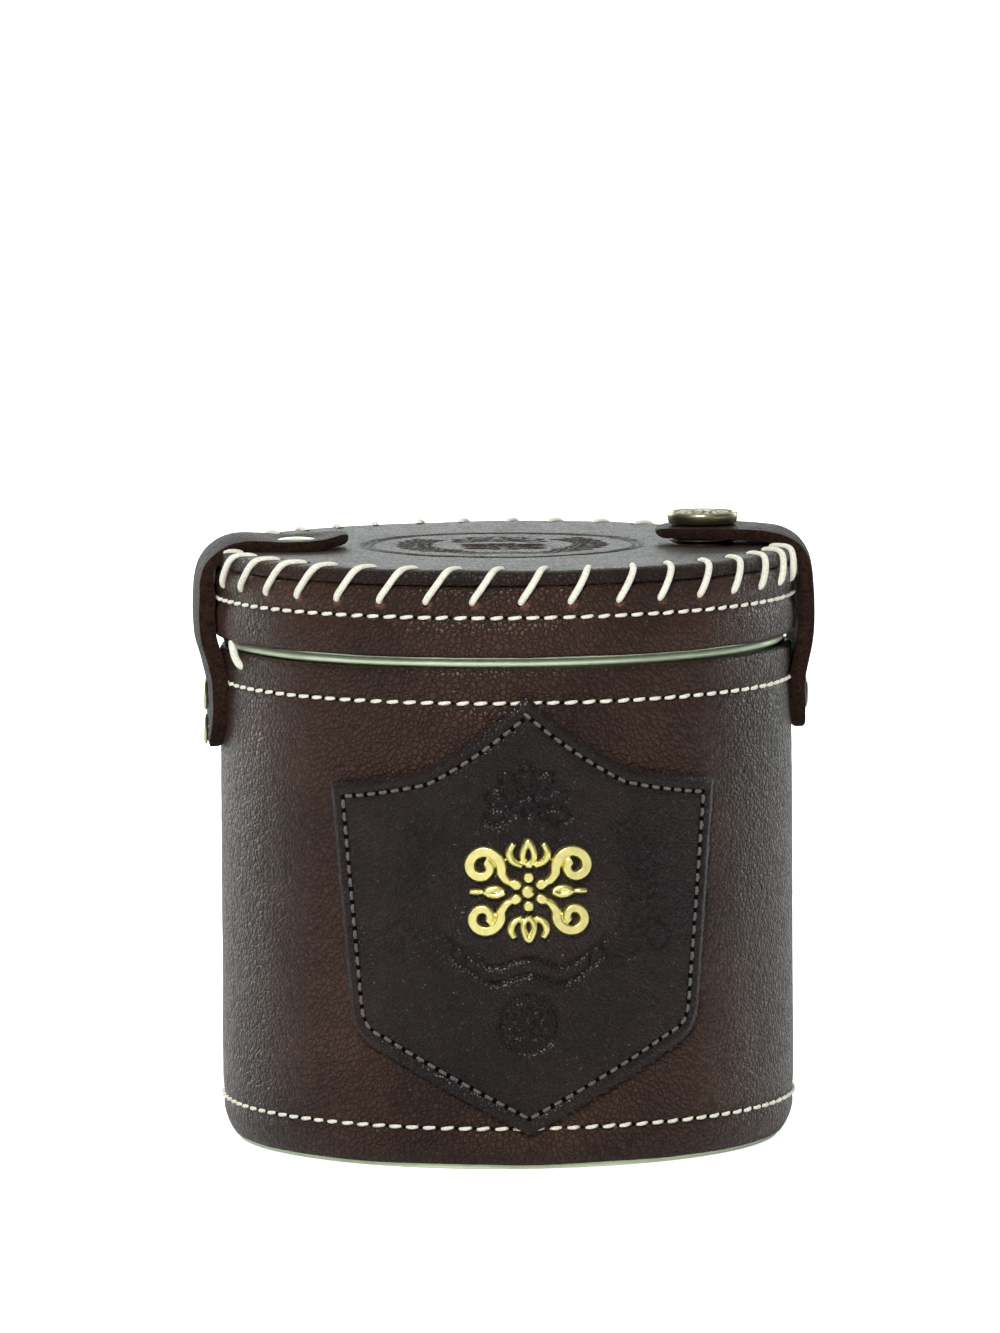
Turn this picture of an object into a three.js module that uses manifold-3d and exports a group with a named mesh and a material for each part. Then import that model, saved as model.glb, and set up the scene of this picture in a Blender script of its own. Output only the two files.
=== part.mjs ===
// Leather dice cup: a felt-lined tin cup in a stitched leather wrap, with a slip-over tin lid
// covered in leather, a riveted strap hinge on -X and a riveted closing strap with a snap on +X.
// Millimetres, +Z up. The origin is the centre of the base, on the surface the cup stands on.
import * as THREE from 'three';
import { mergeVertices } from 'three/addons/utils/BufferGeometryUtils.js';
import Module from 'manifold-3d';

const wasm = await Module();
wasm.setup();

// ---------------------------------------------------------------- driving dimensions
const GAP = 0.3;              // clearance kept between touching pieces
const RING_SIDES = 48;        // facets of every large ring
const SMALL_SIDES = 16;       // facets of rivets and snap pieces

const CUP_RADIUS = 48.0;      // outside of the body leather at its fullest
const SHOULDER_Z = 82.75;     // top edge of the body leather
const LEATHER = 1.6;          // body leather
const WRAP_FOOT_Z = 0.9;      // lower edge of the body leather
const WRAP_FOOT_RADIUS = 46.3;
const WRAP_TOP_RADIUS = 47.8; // the wrap tapers in a little towards the top
const BOARD = 0.8;            // stiffening board under the body leather
const BOARD_TOP_Z = 82.2;
const SEAM_SLOT_HALF = 0.3;   // the wrap's ends stand this far from the seam's middle
const SEAM_WIDTH = 11;        // strip over the seam, at the back
const SEAM_LOW_Z = 8.6;
const SEAM_HIGH_Z = 75.6;

const TIN = 0.7;              // tin sheet, drawn thicker than the real 0.25
const CAN_RADIUS = 44.9;      // outside of the tin wall and of its neck
const NECK_TOP_Z = 88.2;
const BASE_RIM_RADIUS = 45.7;
const BASE_RIM_HEIGHT = 3.4;
const BASE_PLATE_Z = 2.2;     // the base plate sits this high inside its rim
const LINING = 0.9;           // felt-faced sleeve inside the tin
const BASE_BOARD = 0.8;
const BASE_FELT = 1.0;

const LID_RADIUS = 48.8;      // outside of the lid's leather band
const LID_SHIFT = -0.4;       // the hinge strap pulls the lid this far towards -X
const LID_BAND = 1.9;         // band leather, folded double
const LID_BAND_FOOT_Z = 84.8;
const LID_BAND_TOP_Z = 96.2;
const LID_TOP_Z = 99.0;
const LID_TOP_THICKNESS = 2.4;
const LID_DISK_RADIUS = 47.9;
const SKIRT_RADIUS = 46.5;    // outside of the lid's tin skirt
const LID_TIN_TOP_Z = 95.5;
const BEAD_RADIUS = 0.65;     // curled edge of the tin skirt
const BEAD_Z = 83.72;
const LID_BOARD = 0.5;
const LACING_LOW_Z = 96.6;
const LACING_HIGH_Z = 97.8;
const LID_LINING_LOW_Z = 92.5;
const LID_LINING_HIGH_Z = 93.4;
const SHANK_END_Z = 93.7;     // inner end of the shanks that go through the lid
const BURR_RADIUS = 4.0;
const BURR_LOW_Z = 94.0;
const BURR_HIGH_Z = 94.5;

const THREAD_ROWS = { bodyBottom: 7.1, bodyTop: 77.2, lid: 91.3 };
const THREAD_GROOVE_DEPTH = 0.9;
const THREAD_GROOVE_HALF = 0.7;
const THREAD_HALF = 0.4;

const STRAP_WIDTH = 17;
const STRAP = 1.8;            // strap leather
const HINGE_CUT_Z = 84.05;    // height of the flex line of the hinge strap
const TAB_CUT_Z = 82.3;       // height of the flex line of the closing strap
const CUT_HALF_GAP = 0.35;
const STRAP_ON_SIDE = 49.35;  // distance of a hanging strap's middle from the cup's axis
const CLOSING_FOOT_Z = 67.8;
const HINGE_FOOT_Z = 65.7;
const CLOSING_TIP_X = 25.3;
const HINGE_TIP_X = 26.3;

const SNAP_X = 33.2;
const SNAP_CAP_RADIUS = 5.95;
const SOCKET_RADIUS = 4.3;
const STUD_FLANGE_RADIUS = 5.2;
const HINGE_RIVET_X = -34.9;
const RIVET_CAP_RADIUS = 3.6;
const SIDE_CAP_RADIUS = 2.6;
const POST_RADIUS = 1.2;
const POST_HOLE_RADIUS = 1.5;
const SOCKET_BORE_RADIUS = 2.4;
const SOCKET_SEAT_Z = 101.2;
const SNAP_CAP_SEAT_Z = 102.3;
const HINGE_CAP_SEAT_Z = 100.5;
const STUD_SEAT_Z = 98.5;
const SIDE_RIVETS = { closing: [73.6], hinge: [68.7, 74.5] };

const PATCH_THICKNESS = 1.2;
const PATCH_THREAD_INSET = 2.4;
const PATCH_THREAD_WIDTH = 0.9;
const EMBLEM_WIDTH = 22;
const EMBLEM_HEIGHT = 17.5;
const EMBLEM_Z = 46.5;
const EMBLEM_THICKNESS = 1.0;
const PRONG_OFFSET = 5.5;
const PRONG_RADIUS = 0.6;

// A short end of waxed thread that stands beside the body leather, below the lid's edge.
const THREAD_END = { angle: -72, radius: 48.75, low: 80.9, high: 84.4, thickness: 0.6 };

// ---------------------------------------------------------------- solids
const closed = (geometry) => {
  const bare = geometry.clone();
  bare.deleteAttribute('normal');
  bare.deleteAttribute('uv');
  const merged = mergeVertices(bare, 1e-4);
  const position = merged.attributes.position;
  const index = merged.index.array;
  const kept = [];
  const a = new THREE.Vector3();
  const b = new THREE.Vector3();
  const c = new THREE.Vector3();
  let volume = 0;
  for (let i = 0; i < index.length; i += 3) {
    const [p, q, r] = [index[i], index[i + 1], index[i + 2]];
    if (p === q || q === r || r === p) continue;
    kept.push([p, q, r]);
    a.fromBufferAttribute(position, p);
    b.fromBufferAttribute(position, q);
    c.fromBufferAttribute(position, r);
    volume += a.dot(b.cross(c));
  }
  const outward = volume < 0 ? kept.map(([p, q, r]) => [p, r, q]) : kept;
  return new wasm.Manifold(new wasm.Mesh({
    numProp: 3,
    vertProperties: Float32Array.from(position.array),
    triVerts: Uint32Array.from(outward.flat()),
  }));
};

// A solid of revolution about Z from a closed outline of [radius, height] points.
const turned = (outline, sides = RING_SIDES, x = 0, y = 0) => {
  const onAxis = outline[0][0] === 0;
  const loop = onAxis ? outline : [...outline, outline[0]];
  const points = loop.map(([radius, height]) => new THREE.Vector2(radius, height));
  const geometry = new THREE.LatheGeometry(points, sides);
  geometry.rotateX(Math.PI / 2);
  geometry.translate(x, y, 0);
  return closed(geometry);
};

const tube = (inner, outer, low, high, sides, x, y) =>
  turned([[inner, low], [outer, low], [outer, high], [inner, high]], sides, x, y);

const disc = (radius, low, high, sides, x, y) =>
  turned([[0, low], [radius, low], [radius, high], [0, high]], sides, x, y);

// The same small solid laid along X, pointing away from the cup's axis on the given side.
const laidOnSide = (outline, side, height) => {
  const points = outline.map(([radius, along]) => new THREE.Vector2(radius, along));
  const geometry = new THREE.LatheGeometry(points, SMALL_SIDES);
  geometry.rotateZ(-side * Math.PI / 2);
  geometry.translate(0, 0, height);
  return closed(geometry);
};

const prismAlongZ = (shape, low, high) => {
  const geometry = new THREE.ExtrudeGeometry(shape, { depth: high - low, bevelEnabled: false });
  geometry.translate(0, 0, low);
  return closed(geometry);
};

// An outline drawn in X and Z, pushed from y = -far to y = -near, so it faces the front.
const prismToFront = (shape, near, far) => {
  const geometry = new THREE.ExtrudeGeometry(shape, { depth: far - near, bevelEnabled: false });
  geometry.rotateX(Math.PI / 2);
  geometry.translate(0, -near, 0);
  return closed(geometry);
};

const block = (low, high) => {
  const size = high.map((value, i) => value - low[i]);
  const geometry = new THREE.BoxGeometry(...size);
  geometry.translate(...low.map((value, i) => value + size[i] / 2));
  return closed(geometry);
};

// ---------------------------------------------------------------- tin cup, board and linings
const canWallFoot = BASE_RIM_HEIGHT + GAP;

const canBase = () => turned([
  [0, BASE_PLATE_Z], [43.6, BASE_PLATE_Z], [43.9, 0.25], [44.2, 0],
  [BASE_RIM_RADIUS - 0.3, 0], [BASE_RIM_RADIUS, 0.3], [BASE_RIM_RADIUS, BASE_RIM_HEIGHT],
  [CAN_RADIUS - TIN, BASE_RIM_HEIGHT], [CAN_RADIUS - TIN, BASE_PLATE_Z + TIN],
  [0, BASE_PLATE_Z + TIN],
]);

const canWall = () => turned([
  [CAN_RADIUS - TIN, canWallFoot], [CAN_RADIUS, canWallFoot],
  [CAN_RADIUS, NECK_TOP_Z - 0.5], [CAN_RADIUS - 0.35, NECK_TOP_Z], [CAN_RADIUS - TIN, NECK_TOP_Z],
]);

const liningOuter = CAN_RADIUS - TIN - GAP;
const baseBoardLow = BASE_PLATE_Z + TIN + GAP;
const baseBoard = () => disc(liningOuter - GAP, baseBoardLow, baseBoardLow + BASE_BOARD);
const baseFeltLow = baseBoardLow + BASE_BOARD + GAP;
const baseFelt = () =>
  disc(liningOuter - LINING - GAP, baseFeltLow, baseFeltLow + BASE_FELT);
const cupLining = () =>
  tube(liningOuter - LINING, liningOuter, baseFeltLow, NECK_TOP_Z - 0.6);

const boardInner = CAN_RADIUS + GAP;
const boardOuter = boardInner + BOARD;
const bodyBoard = () => tube(boardInner, boardOuter, BASE_RIM_HEIGHT + 0.8, BOARD_TOP_Z);

// ---------------------------------------------------------------- body leather
const groove = (radius, height) => [
  [radius, height - THREAD_GROOVE_HALF], [radius - THREAD_GROOVE_DEPTH, height - THREAD_GROOVE_HALF],
  [radius - THREAD_GROOVE_DEPTH, height + THREAD_GROOVE_HALF], [radius, height + THREAD_GROOVE_HALF],
];

const threadRing = (radius, height) => tube(
  radius - THREAD_GROOVE_DEPTH + GAP, radius,
  height - THREAD_HALF, height + THREAD_HALF,
);

const wrapInner = CUP_RADIUS - LEATHER;

const bodyWrap = () => {
  const wrap = turned([
    [BASE_RIM_RADIUS + GAP, WRAP_FOOT_Z], [WRAP_FOOT_RADIUS, WRAP_FOOT_Z],
    [47.3, 2.6], [CUP_RADIUS, 5.2],
    ...groove(CUP_RADIUS, THREAD_ROWS.bodyBottom), ...groove(WRAP_TOP_RADIUS, THREAD_ROWS.bodyTop),
    [WRAP_TOP_RADIUS, SHOULDER_Z - 0.4], [WRAP_TOP_RADIUS - 0.4, SHOULDER_Z],
    [wrapInner, SHOULDER_Z], [wrapInner, BASE_RIM_HEIGHT + 1.2],
    [BASE_RIM_RADIUS + GAP, BASE_RIM_HEIGHT + 0.4],
  ]);
  const slot = block([-SEAM_SLOT_HALF, 30, -1], [SEAM_SLOT_HALF, 60, 100]);
  return wrap.subtract(slot);
};

const seamStrip = () => tube(CUP_RADIUS + GAP, CUP_RADIUS + GAP + PATCH_THICKNESS, SEAM_LOW_Z, SEAM_HIGH_Z)
  .intersect(block([-SEAM_WIDTH / 2, 30, 0], [SEAM_WIDTH / 2, 60, 90]));

const threadEnd = () => {
  const angle = THREE.MathUtils.degToRad(THREAD_END.angle);
  return disc(
    THREAD_END.thickness, THREAD_END.low, THREAD_END.high, 10,
    THREAD_END.radius * Math.sin(angle), -THREAD_END.radius * Math.cos(angle),
  );
};

// ---------------------------------------------------------------- shield patch and emblem
const patchInner = CUP_RADIUS + GAP;
const patchOuter = patchInner + PATCH_THICKNESS;

// Shield outline, symmetric about x = 0: [distance round the cup, height]. Shoulders sweep
// concavely from the top apex to the corners; the lower corners are rounded.
const SHIELD = {
  apexTop: [0, 78.5], shoulder: [17.5, 66.2], corner: [34.6, 63.6],
  hip: [31.0, 27.0], lower: [25.5, 19.8], apexBottom: [0, 6.2],
};

const shieldShape = (inset) => {
  const flat = ([along, height]) =>
    [patchOuter * Math.sin(along / patchOuter), height];
  const shrink = ([along, height], down) => [Math.max(0, along - inset), height - down * inset];
  const [, topZ] = flat(shrink(SHIELD.apexTop, 1.25));
  const shoulder = flat(shrink(SHIELD.shoulder, 1.0).map((v, i) => (i ? v : v + inset * 0.6)));
  const corner = flat(shrink(SHIELD.corner, 0.9));
  const hip = flat(shrink(SHIELD.hip, -0.3));
  const lower = flat(shrink(SHIELD.lower, -0.7).map((v, i) => (i ? v : v + inset * 0.3)));
  const [, bottomZ] = flat(shrink(SHIELD.apexBottom, -1.2));
  const right = new THREE.Shape();
  right.moveTo(0, topZ);
  right.quadraticCurveTo(shoulder[0] * 0.5, shoulder[1] + 4.4, shoulder[0], shoulder[1]);
  right.quadraticCurveTo(corner[0] * 0.78, corner[1] + 0.5, corner[0], corner[1]);
  right.lineTo(hip[0], hip[1]);
  right.quadraticCurveTo(hip[0] - 0.4, lower[1] + 1.6, lower[0], lower[1]);
  right.lineTo(0, bottomZ);
  const half = right.getPoints(5);
  const mirrored = half.slice(1, -1).reverse().map((p) => new THREE.Vector2(-p.x, p.y));
  return new THREE.Shape([...half, ...mirrored]);
};

const prongHoles = () => {
  const holes = [-PRONG_OFFSET, PRONG_OFFSET].map((x) => {
    const geometry = new THREE.CylinderGeometry(PRONG_RADIUS + GAP, PRONG_RADIUS + GAP, 12, 12);
    geometry.translate(x, -CUP_RADIUS, EMBLEM_Z);
    return closed(geometry);
  });
  return holes[0].add(holes[1]);
};

const onCup = (shape, inner, outer) =>
  tube(inner, outer, 0, 90).intersect(prismToFront(shape, 20, 60));

const shieldPatch = () => onCup(shieldShape(0), patchInner, patchOuter).subtract(prongHoles());

const patchThread = () =>
  onCup(shieldShape(PATCH_THREAD_INSET), patchOuter + GAP, patchOuter + GAP + 0.4)
    .subtract(prismToFront(shieldShape(PATCH_THREAD_INSET + PATCH_THREAD_WIDTH), 20, 60));

// Emblem outline: a plain lobed cartouche, standing for the scrollwork.
const emblemShape = () => {
  const lobes = 8;
  const depth = 0.1;
  const points = [];
  for (let i = 0; i < 48; i += 1) {
    const turn = (i / 48) * 2 * Math.PI;
    const reach = 1 - depth + depth * Math.cos(lobes * turn);
    points.push(new THREE.Vector2(
      0.5 * EMBLEM_WIDTH * reach * Math.cos(turn),
      EMBLEM_Z + 0.5 * EMBLEM_HEIGHT * reach * Math.sin(turn),
    ));
  }
  return new THREE.Shape(points);
};

const emblemInner = patchOuter + GAP;
const emblem = () => onCup(emblemShape(), emblemInner, emblemInner + EMBLEM_THICKNESS);

const emblemProng = (x) => {
  const back = wrapInner - GAP;
  const front = Math.sqrt(emblemInner ** 2 - x ** 2) - GAP;
  const geometry = new THREE.CylinderGeometry(PRONG_RADIUS, PRONG_RADIUS, front - back + 0.3, 12);
  geometry.translate(x, -(front + back) / 2, EMBLEM_Z);
  return closed(geometry);
};

// ---------------------------------------------------------------- straps
// Centre lines in [x, z] for the +X side; the hinge strap's are mirrored to -X.
const CLOSING_LOWER = [
  [STRAP_ON_SIDE, 66.9], [STRAP_ON_SIDE, 72], [49.4, 76.5], [49.95, 79.6], [50.55, TAB_CUT_Z],
];
const CLOSING_UPPER = [
  [50.55, TAB_CUT_Z], [50.85, 85], [50.95, 88], [50.9, 91], [50.7, 94.4], [50.1, 97.5],
  [48.9, 99.8], [46.9, 101.2], [44.4, 101.65], [41.5, 101.45], [38.5, 101.25],
  [35.5, 101.2], [30, 101.2], [24.5, 101.45],
];
const HINGE_LOWER = [
  [STRAP_ON_SIDE, 64.8], [STRAP_ON_SIDE, 72], [49.45, 77], [50.2, 80.6], [51.35, HINGE_CUT_Z],
];
const HINGE_UPPER = [
  [51.35, HINGE_CUT_Z], [51.7, 87], [51.8, 90.5], [51.4, 94.6], [50.4, 97.8], [48.8, 99.9],
  [46.4, 101.1], [43.8, 101.3], [41, 100.9], [38, 100.35], [34.9, 100.2], [31, 100.5],
  [28.5, 101.0], [25.4, 101.9],
];

const strapBand = (centres, side) => {
  const curve = new THREE.CatmullRomCurve3(
    centres.map(([x, height]) => new THREE.Vector3(side * x, height, 0)), false, 'centripetal');
  const steps = centres.length * 2;
  const left = [];
  const right = [];
  for (let i = 0; i <= steps; i += 1) {
    const point = curve.getPoint(i / steps);
    const along = curve.getTangent(i / steps);
    const across = new THREE.Vector2(-along.y, along.x).multiplyScalar(STRAP / 2);
    left.push(new THREE.Vector2(point.x + across.x, point.y + across.y));
    right.push(new THREE.Vector2(point.x - across.x, point.y - across.y));
  }
  const shape = new THREE.Shape([...left, ...right.reverse()]);
  return prismToFront(shape, -STRAP_WIDTH / 2, STRAP_WIDTH / 2);
};

const roundEnd = (tip, towards, length) => {
  const radius = STRAP_WIDTH / 2;
  const centre = tip + towards * radius;
  const shape = new THREE.Shape();
  shape.moveTo(centre + towards * length, -radius - 1);
  shape.lineTo(centre, -radius - 1);
  shape.lineTo(centre, -radius);
  const facets = 14;
  for (let i = 1; i <= facets; i += 1) {
    const turn = (i / facets) * Math.PI;
    shape.lineTo(centre - towards * radius * Math.sin(turn), -radius * Math.cos(turn));
  }
  shape.lineTo(centre, radius + 1);
  shape.lineTo(centre + towards * length, radius + 1);
  return shape;
};

// Rounds a strap's end that hangs on the cup's side, at the height foot.
const roundFoot = (foot, side) => {
  const geometry = new THREE.ExtrudeGeometry(roundEnd(foot, 1, 60), { depth: 30, bevelEnabled: false });
  geometry.rotateY(-Math.PI / 2);
  geometry.translate(side > 0 ? 65 : -35, 0, 0);
  return closed(geometry);
};

const roundTip = (tip, side) => prismAlongZ(roundEnd(side * tip, side, 60), 60, 120);

const above = (height) => block([-80, -30, height], [80, 30, 130]);
const below = (height) => block([-80, -30, 40], [80, 30, height]);

const sideHoles = (heights, side) => heights
  .map((height) => laidOnSide(
    [[0, 40], [POST_HOLE_RADIUS, 40], [POST_HOLE_RADIUS, 60], [0, 60]], side, height))
  .reduce((all, hole) => all.add(hole));

const SIDE_STRAP_OUTER = STRAP_ON_SIDE + STRAP / 2;

const closingStrap = () => strapBand(CLOSING_LOWER, 1)
  .intersect(below(TAB_CUT_Z - CUT_HALF_GAP))
  .intersect(roundFoot(CLOSING_FOOT_Z, 1))
  .subtract(sideHoles(SIDE_RIVETS.closing, 1));

const hingeStrap = () => strapBand(HINGE_LOWER, -1)
  .intersect(below(HINGE_CUT_Z - CUT_HALF_GAP))
  .intersect(roundFoot(HINGE_FOOT_Z, -1))
  .subtract(sideHoles(SIDE_RIVETS.hinge, -1));

const closingTab = () => strapBand(CLOSING_UPPER, 1)
  .intersect(above(TAB_CUT_Z + CUT_HALF_GAP))
  .intersect(roundTip(CLOSING_TIP_X, 1))
  .subtract(disc(SOCKET_RADIUS + GAP, 95, SOCKET_SEAT_Z, SMALL_SIDES, SNAP_X, 0))
  .subtract(disc(POST_HOLE_RADIUS, 95, 110, SMALL_SIDES, SNAP_X, 0));

const hingeTab = () => strapBand(HINGE_UPPER, -1)
  .intersect(above(HINGE_CUT_Z + CUT_HALF_GAP))
  .intersect(roundTip(HINGE_TIP_X, -1))
  .subtract(disc(RIVET_CAP_RADIUS + GAP, HINGE_CAP_SEAT_Z, 110, SMALL_SIDES, HINGE_RIVET_X, 0))
  .subtract(disc(POST_HOLE_RADIUS, 95, 110, SMALL_SIDES, HINGE_RIVET_X, 0));

// ---------------------------------------------------------------- rivets and snap
const sideRivet = (side, height) => {
  const seat = SIDE_STRAP_OUTER + GAP;
  const shankEnd = boardOuter + GAP + 0.2;
  return laidOnSide([
    [0, shankEnd], [POST_RADIUS, shankEnd],
    [POST_RADIUS, seat], [SIDE_CAP_RADIUS, seat], [SIDE_CAP_RADIUS, seat + 0.25],
    [1.6, seat + 0.65], [0, seat + 0.8],
  ], side, height);
};

const hingeCapLow = HINGE_CAP_SEAT_Z + GAP;
const hingeLidRivet = () => turned([
  [0, SHANK_END_Z], [POST_RADIUS, SHANK_END_Z], [POST_RADIUS, hingeCapLow],
  [RIVET_CAP_RADIUS, hingeCapLow], [RIVET_CAP_RADIUS, hingeCapLow + 0.3],
  [2.4, hingeCapLow + 0.8], [0, hingeCapLow + 0.95],
], SMALL_SIDES, HINGE_RIVET_X);

const lidBurr = (x) =>
  tube(POST_HOLE_RADIUS, BURR_RADIUS, BURR_LOW_Z, BURR_HIGH_Z, SMALL_SIDES, x);

const studFlangeTop = STUD_SEAT_Z + GAP + 0.4;
const studTop = studFlangeTop + 0.9;
const snapStud = () => turned([
  [0, SHANK_END_Z], [POST_RADIUS, SHANK_END_Z], [POST_RADIUS, STUD_SEAT_Z + GAP],
  [STUD_FLANGE_RADIUS, STUD_SEAT_Z + GAP], [STUD_FLANGE_RADIUS, studFlangeTop],
  [1.7, studFlangeTop], [2.0, studFlangeTop + 0.5], [1.5, studTop], [0, studTop],
], SMALL_SIDES, SNAP_X);

const socketLow = studFlangeTop + GAP;
const socketTop = SOCKET_SEAT_Z - GAP;
const snapSocket = () => turned([
  [SOCKET_BORE_RADIUS, socketLow], [3.6, socketLow], [SOCKET_RADIUS, socketLow + 0.5],
  [SOCKET_RADIUS, socketTop], [SOCKET_BORE_RADIUS, socketTop],
], SMALL_SIDES, SNAP_X);

const capSeat = SNAP_CAP_SEAT_Z + GAP;
const postLow = studTop + GAP;
const snapCap = () => turned([
  [0, postLow], [POST_RADIUS, postLow], [POST_RADIUS, capSeat], [SNAP_CAP_RADIUS - 0.5, capSeat],
  [SNAP_CAP_RADIUS, capSeat + 0.45], [SNAP_CAP_RADIUS - 0.35, capSeat + 1.05],
  [4.0, capSeat + 1.6], [2.0, capSeat + 1.9], [0, capSeat + 2.0],
], SMALL_SIDES, SNAP_X);

// ---------------------------------------------------------------- lid
const onLid = (solid) => solid.translate([LID_SHIFT, 0, 0]);

const lidTin = () => {
  const skirtInner = SKIRT_RADIUS - TIN;
  const plateLow = LID_TIN_TOP_Z - TIN;
  const beadCentre = SKIRT_RADIUS - BEAD_RADIUS + 0.45;
  const bead = [];
  for (let i = 0; i <= 6; i += 1) {
    const turn = THREE.MathUtils.degToRad(-165 + i * 40);
    bead.push([beadCentre + BEAD_RADIUS * Math.cos(turn), BEAD_Z + BEAD_RADIUS * Math.sin(turn)]);
  }
  const holes = [SNAP_X, HINGE_RIVET_X]
    .map((x) => disc(POST_HOLE_RADIUS, 90, 97, SMALL_SIDES, x));
  return onLid(turned([
    [0, plateLow], [skirtInner, plateLow], [skirtInner, BEAD_Z], ...bead,
    [SKIRT_RADIUS, BEAD_Z + 0.9], [SKIRT_RADIUS, LID_TIN_TOP_Z], [0, LID_TIN_TOP_Z],
  ])).subtract(holes[0]).subtract(holes[1]);
};

const throughLid = (solid) => solid
  .subtract(disc(POST_HOLE_RADIUS, 90, 101, SMALL_SIDES, SNAP_X))
  .subtract(disc(POST_HOLE_RADIUS, 90, 101, SMALL_SIDES, HINGE_RIVET_X));

const lidBoard = () =>
  throughLid(onLid(disc(SKIRT_RADIUS, LID_TIN_TOP_Z + GAP, LID_TIN_TOP_Z + GAP + LID_BOARD)));

const lidBand = () => onLid(turned([
  [LID_RADIUS - LID_BAND, LID_BAND_FOOT_Z], [LID_RADIUS - 0.4, LID_BAND_FOOT_Z],
  [LID_RADIUS, LID_BAND_FOOT_Z + 0.4], ...groove(LID_RADIUS, THREAD_ROWS.lid),
  [LID_RADIUS, LID_BAND_TOP_Z - 0.3], [LID_RADIUS - 0.3, LID_BAND_TOP_Z],
  [LID_RADIUS - LID_BAND, LID_BAND_TOP_Z],
]));

const lidTop = () => {
  const low = LID_TOP_Z - LID_TOP_THICKNESS;
  return throughLid(onLid(turned([
    [0, low], [LID_DISK_RADIUS, low], [LID_DISK_RADIUS, LID_TOP_Z - 0.5],
    [LID_DISK_RADIUS - 0.5, LID_TOP_Z], [0, LID_TOP_Z],
  ]))).subtract(disc(STUD_FLANGE_RADIUS + GAP, STUD_SEAT_Z, 101, SMALL_SIDES, SNAP_X));
};

// The laced edge, drawn as the ring that the stitches cover round the lid's cut edge.
const lidLacing = () =>
  onLid(tube(LID_DISK_RADIUS + GAP, LID_DISK_RADIUS + GAP + 0.4, LACING_LOW_Z, LACING_HIGH_Z));

const lidLining = () =>
  onLid(disc(SKIRT_RADIUS - TIN - GAP - 0.2, LID_LINING_LOW_Z, LID_LINING_HIGH_Z));

// ---------------------------------------------------------------- finishes
const finish = (color, roughness, metalness = 0) =>
  new THREE.MeshStandardMaterial({ color, roughness, metalness });

const FINISH = {
  leather: finish(0x4e3a32, 0.55),
  darkLeather: finish(0x2a2222, 0.5),
  strapLeather: finish(0x3c2d29, 0.6),
  thread: finish(0xf0f0e1, 0.7),
  darkThread: finish(0x4a4646, 0.7),
  tin: finish(0xb4bfa6, 0.3, 1),
  brass: finish(0xc9bd62, 0.3, 1),
  antique: finish(0x7d7350, 0.35, 1),
  felt: finish(0x2f2a28, 0.95),
  board: finish(0x8b7a5f, 0.9),
};

// ---------------------------------------------------------------- assembly
const cup = new THREE.Group();

const put = (name, solid, material) => {
  const { vertProperties, triVerts } = solid.getMesh();
  const geometry = new THREE.BufferGeometry();
  geometry.setAttribute('position', new THREE.BufferAttribute(vertProperties, 3));
  geometry.setIndex(new THREE.BufferAttribute(triVerts, 1));
  geometry.computeVertexNormals();
  const mesh = new THREE.Mesh(geometry, material);
  mesh.name = name;
  cup.add(mesh);
};

put('can_base', canBase(), FINISH.tin);
put('can_wall', canWall(), FINISH.tin);
put('base_board', baseBoard(), FINISH.board);
put('base_felt', baseFelt(), FINISH.felt);
put('cup_lining', cupLining(), FINISH.felt);
put('body_board', bodyBoard(), FINISH.board);
put('body_wrap', bodyWrap()
  .subtract(prongHoles())
  .subtract(sideHoles(SIDE_RIVETS.closing, 1))
  .subtract(sideHoles(SIDE_RIVETS.hinge, -1)), FINISH.leather);
put('back_seam_strip', seamStrip(), FINISH.leather);
put('body_thread_top', threadRing(WRAP_TOP_RADIUS, THREAD_ROWS.bodyTop), FINISH.thread);
put('body_thread_bottom', threadRing(CUP_RADIUS, THREAD_ROWS.bodyBottom), FINISH.thread);
put('thread_end', threadEnd(), FINISH.thread);
put('shield_patch', shieldPatch(), FINISH.darkLeather);
put('patch_thread', patchThread(), FINISH.darkThread);
put('emblem', emblem(), FINISH.brass);
put('emblem_prong_left', emblemProng(-PRONG_OFFSET), FINISH.brass);
put('emblem_prong_right', emblemProng(PRONG_OFFSET), FINISH.brass);
put('closing_strap', closingStrap(), FINISH.strapLeather);
put('closing_strap_rivet', sideRivet(1, SIDE_RIVETS.closing[0]), FINISH.tin);
put('hinge_strap', hingeStrap(), FINISH.strapLeather);
put('hinge_rivet_lower', sideRivet(-1, SIDE_RIVETS.hinge[0]), FINISH.tin);
put('hinge_rivet_upper', sideRivet(-1, SIDE_RIVETS.hinge[1]), FINISH.tin);

put('lid_tin', lidTin(), FINISH.tin);
put('lid_board', lidBoard(), FINISH.board);
put('lid_band', lidBand(), FINISH.leather);
put('lid_top', lidTop(), FINISH.leather);
put('lid_thread', onLid(threadRing(LID_RADIUS, THREAD_ROWS.lid)), FINISH.thread);
put('lid_lacing', lidLacing(), FINISH.thread);
put('lid_lining', lidLining(), FINISH.felt);
put('hinge_tab', hingeTab(), FINISH.strapLeather);
put('hinge_lid_rivet', hingeLidRivet(), FINISH.tin);
put('hinge_lid_burr', lidBurr(HINGE_RIVET_X), FINISH.tin);
put('snap_stud', snapStud(), FINISH.antique);
put('snap_stud_burr', lidBurr(SNAP_X), FINISH.antique);

put('closing_tab', closingTab(), FINISH.strapLeather);
put('snap_socket', snapSocket(), FINISH.antique);
put('snap_cap', snapCap(), FINISH.antique);

export default cup;
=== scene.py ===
"""Leather dice cup: the laced lid, stitched body, shield patch, straps, rivets and snap."""
import bmesh
import bpy
import math
import random
import numpy as np
from mathutils import Euler, Matrix, Vector, noise


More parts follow.
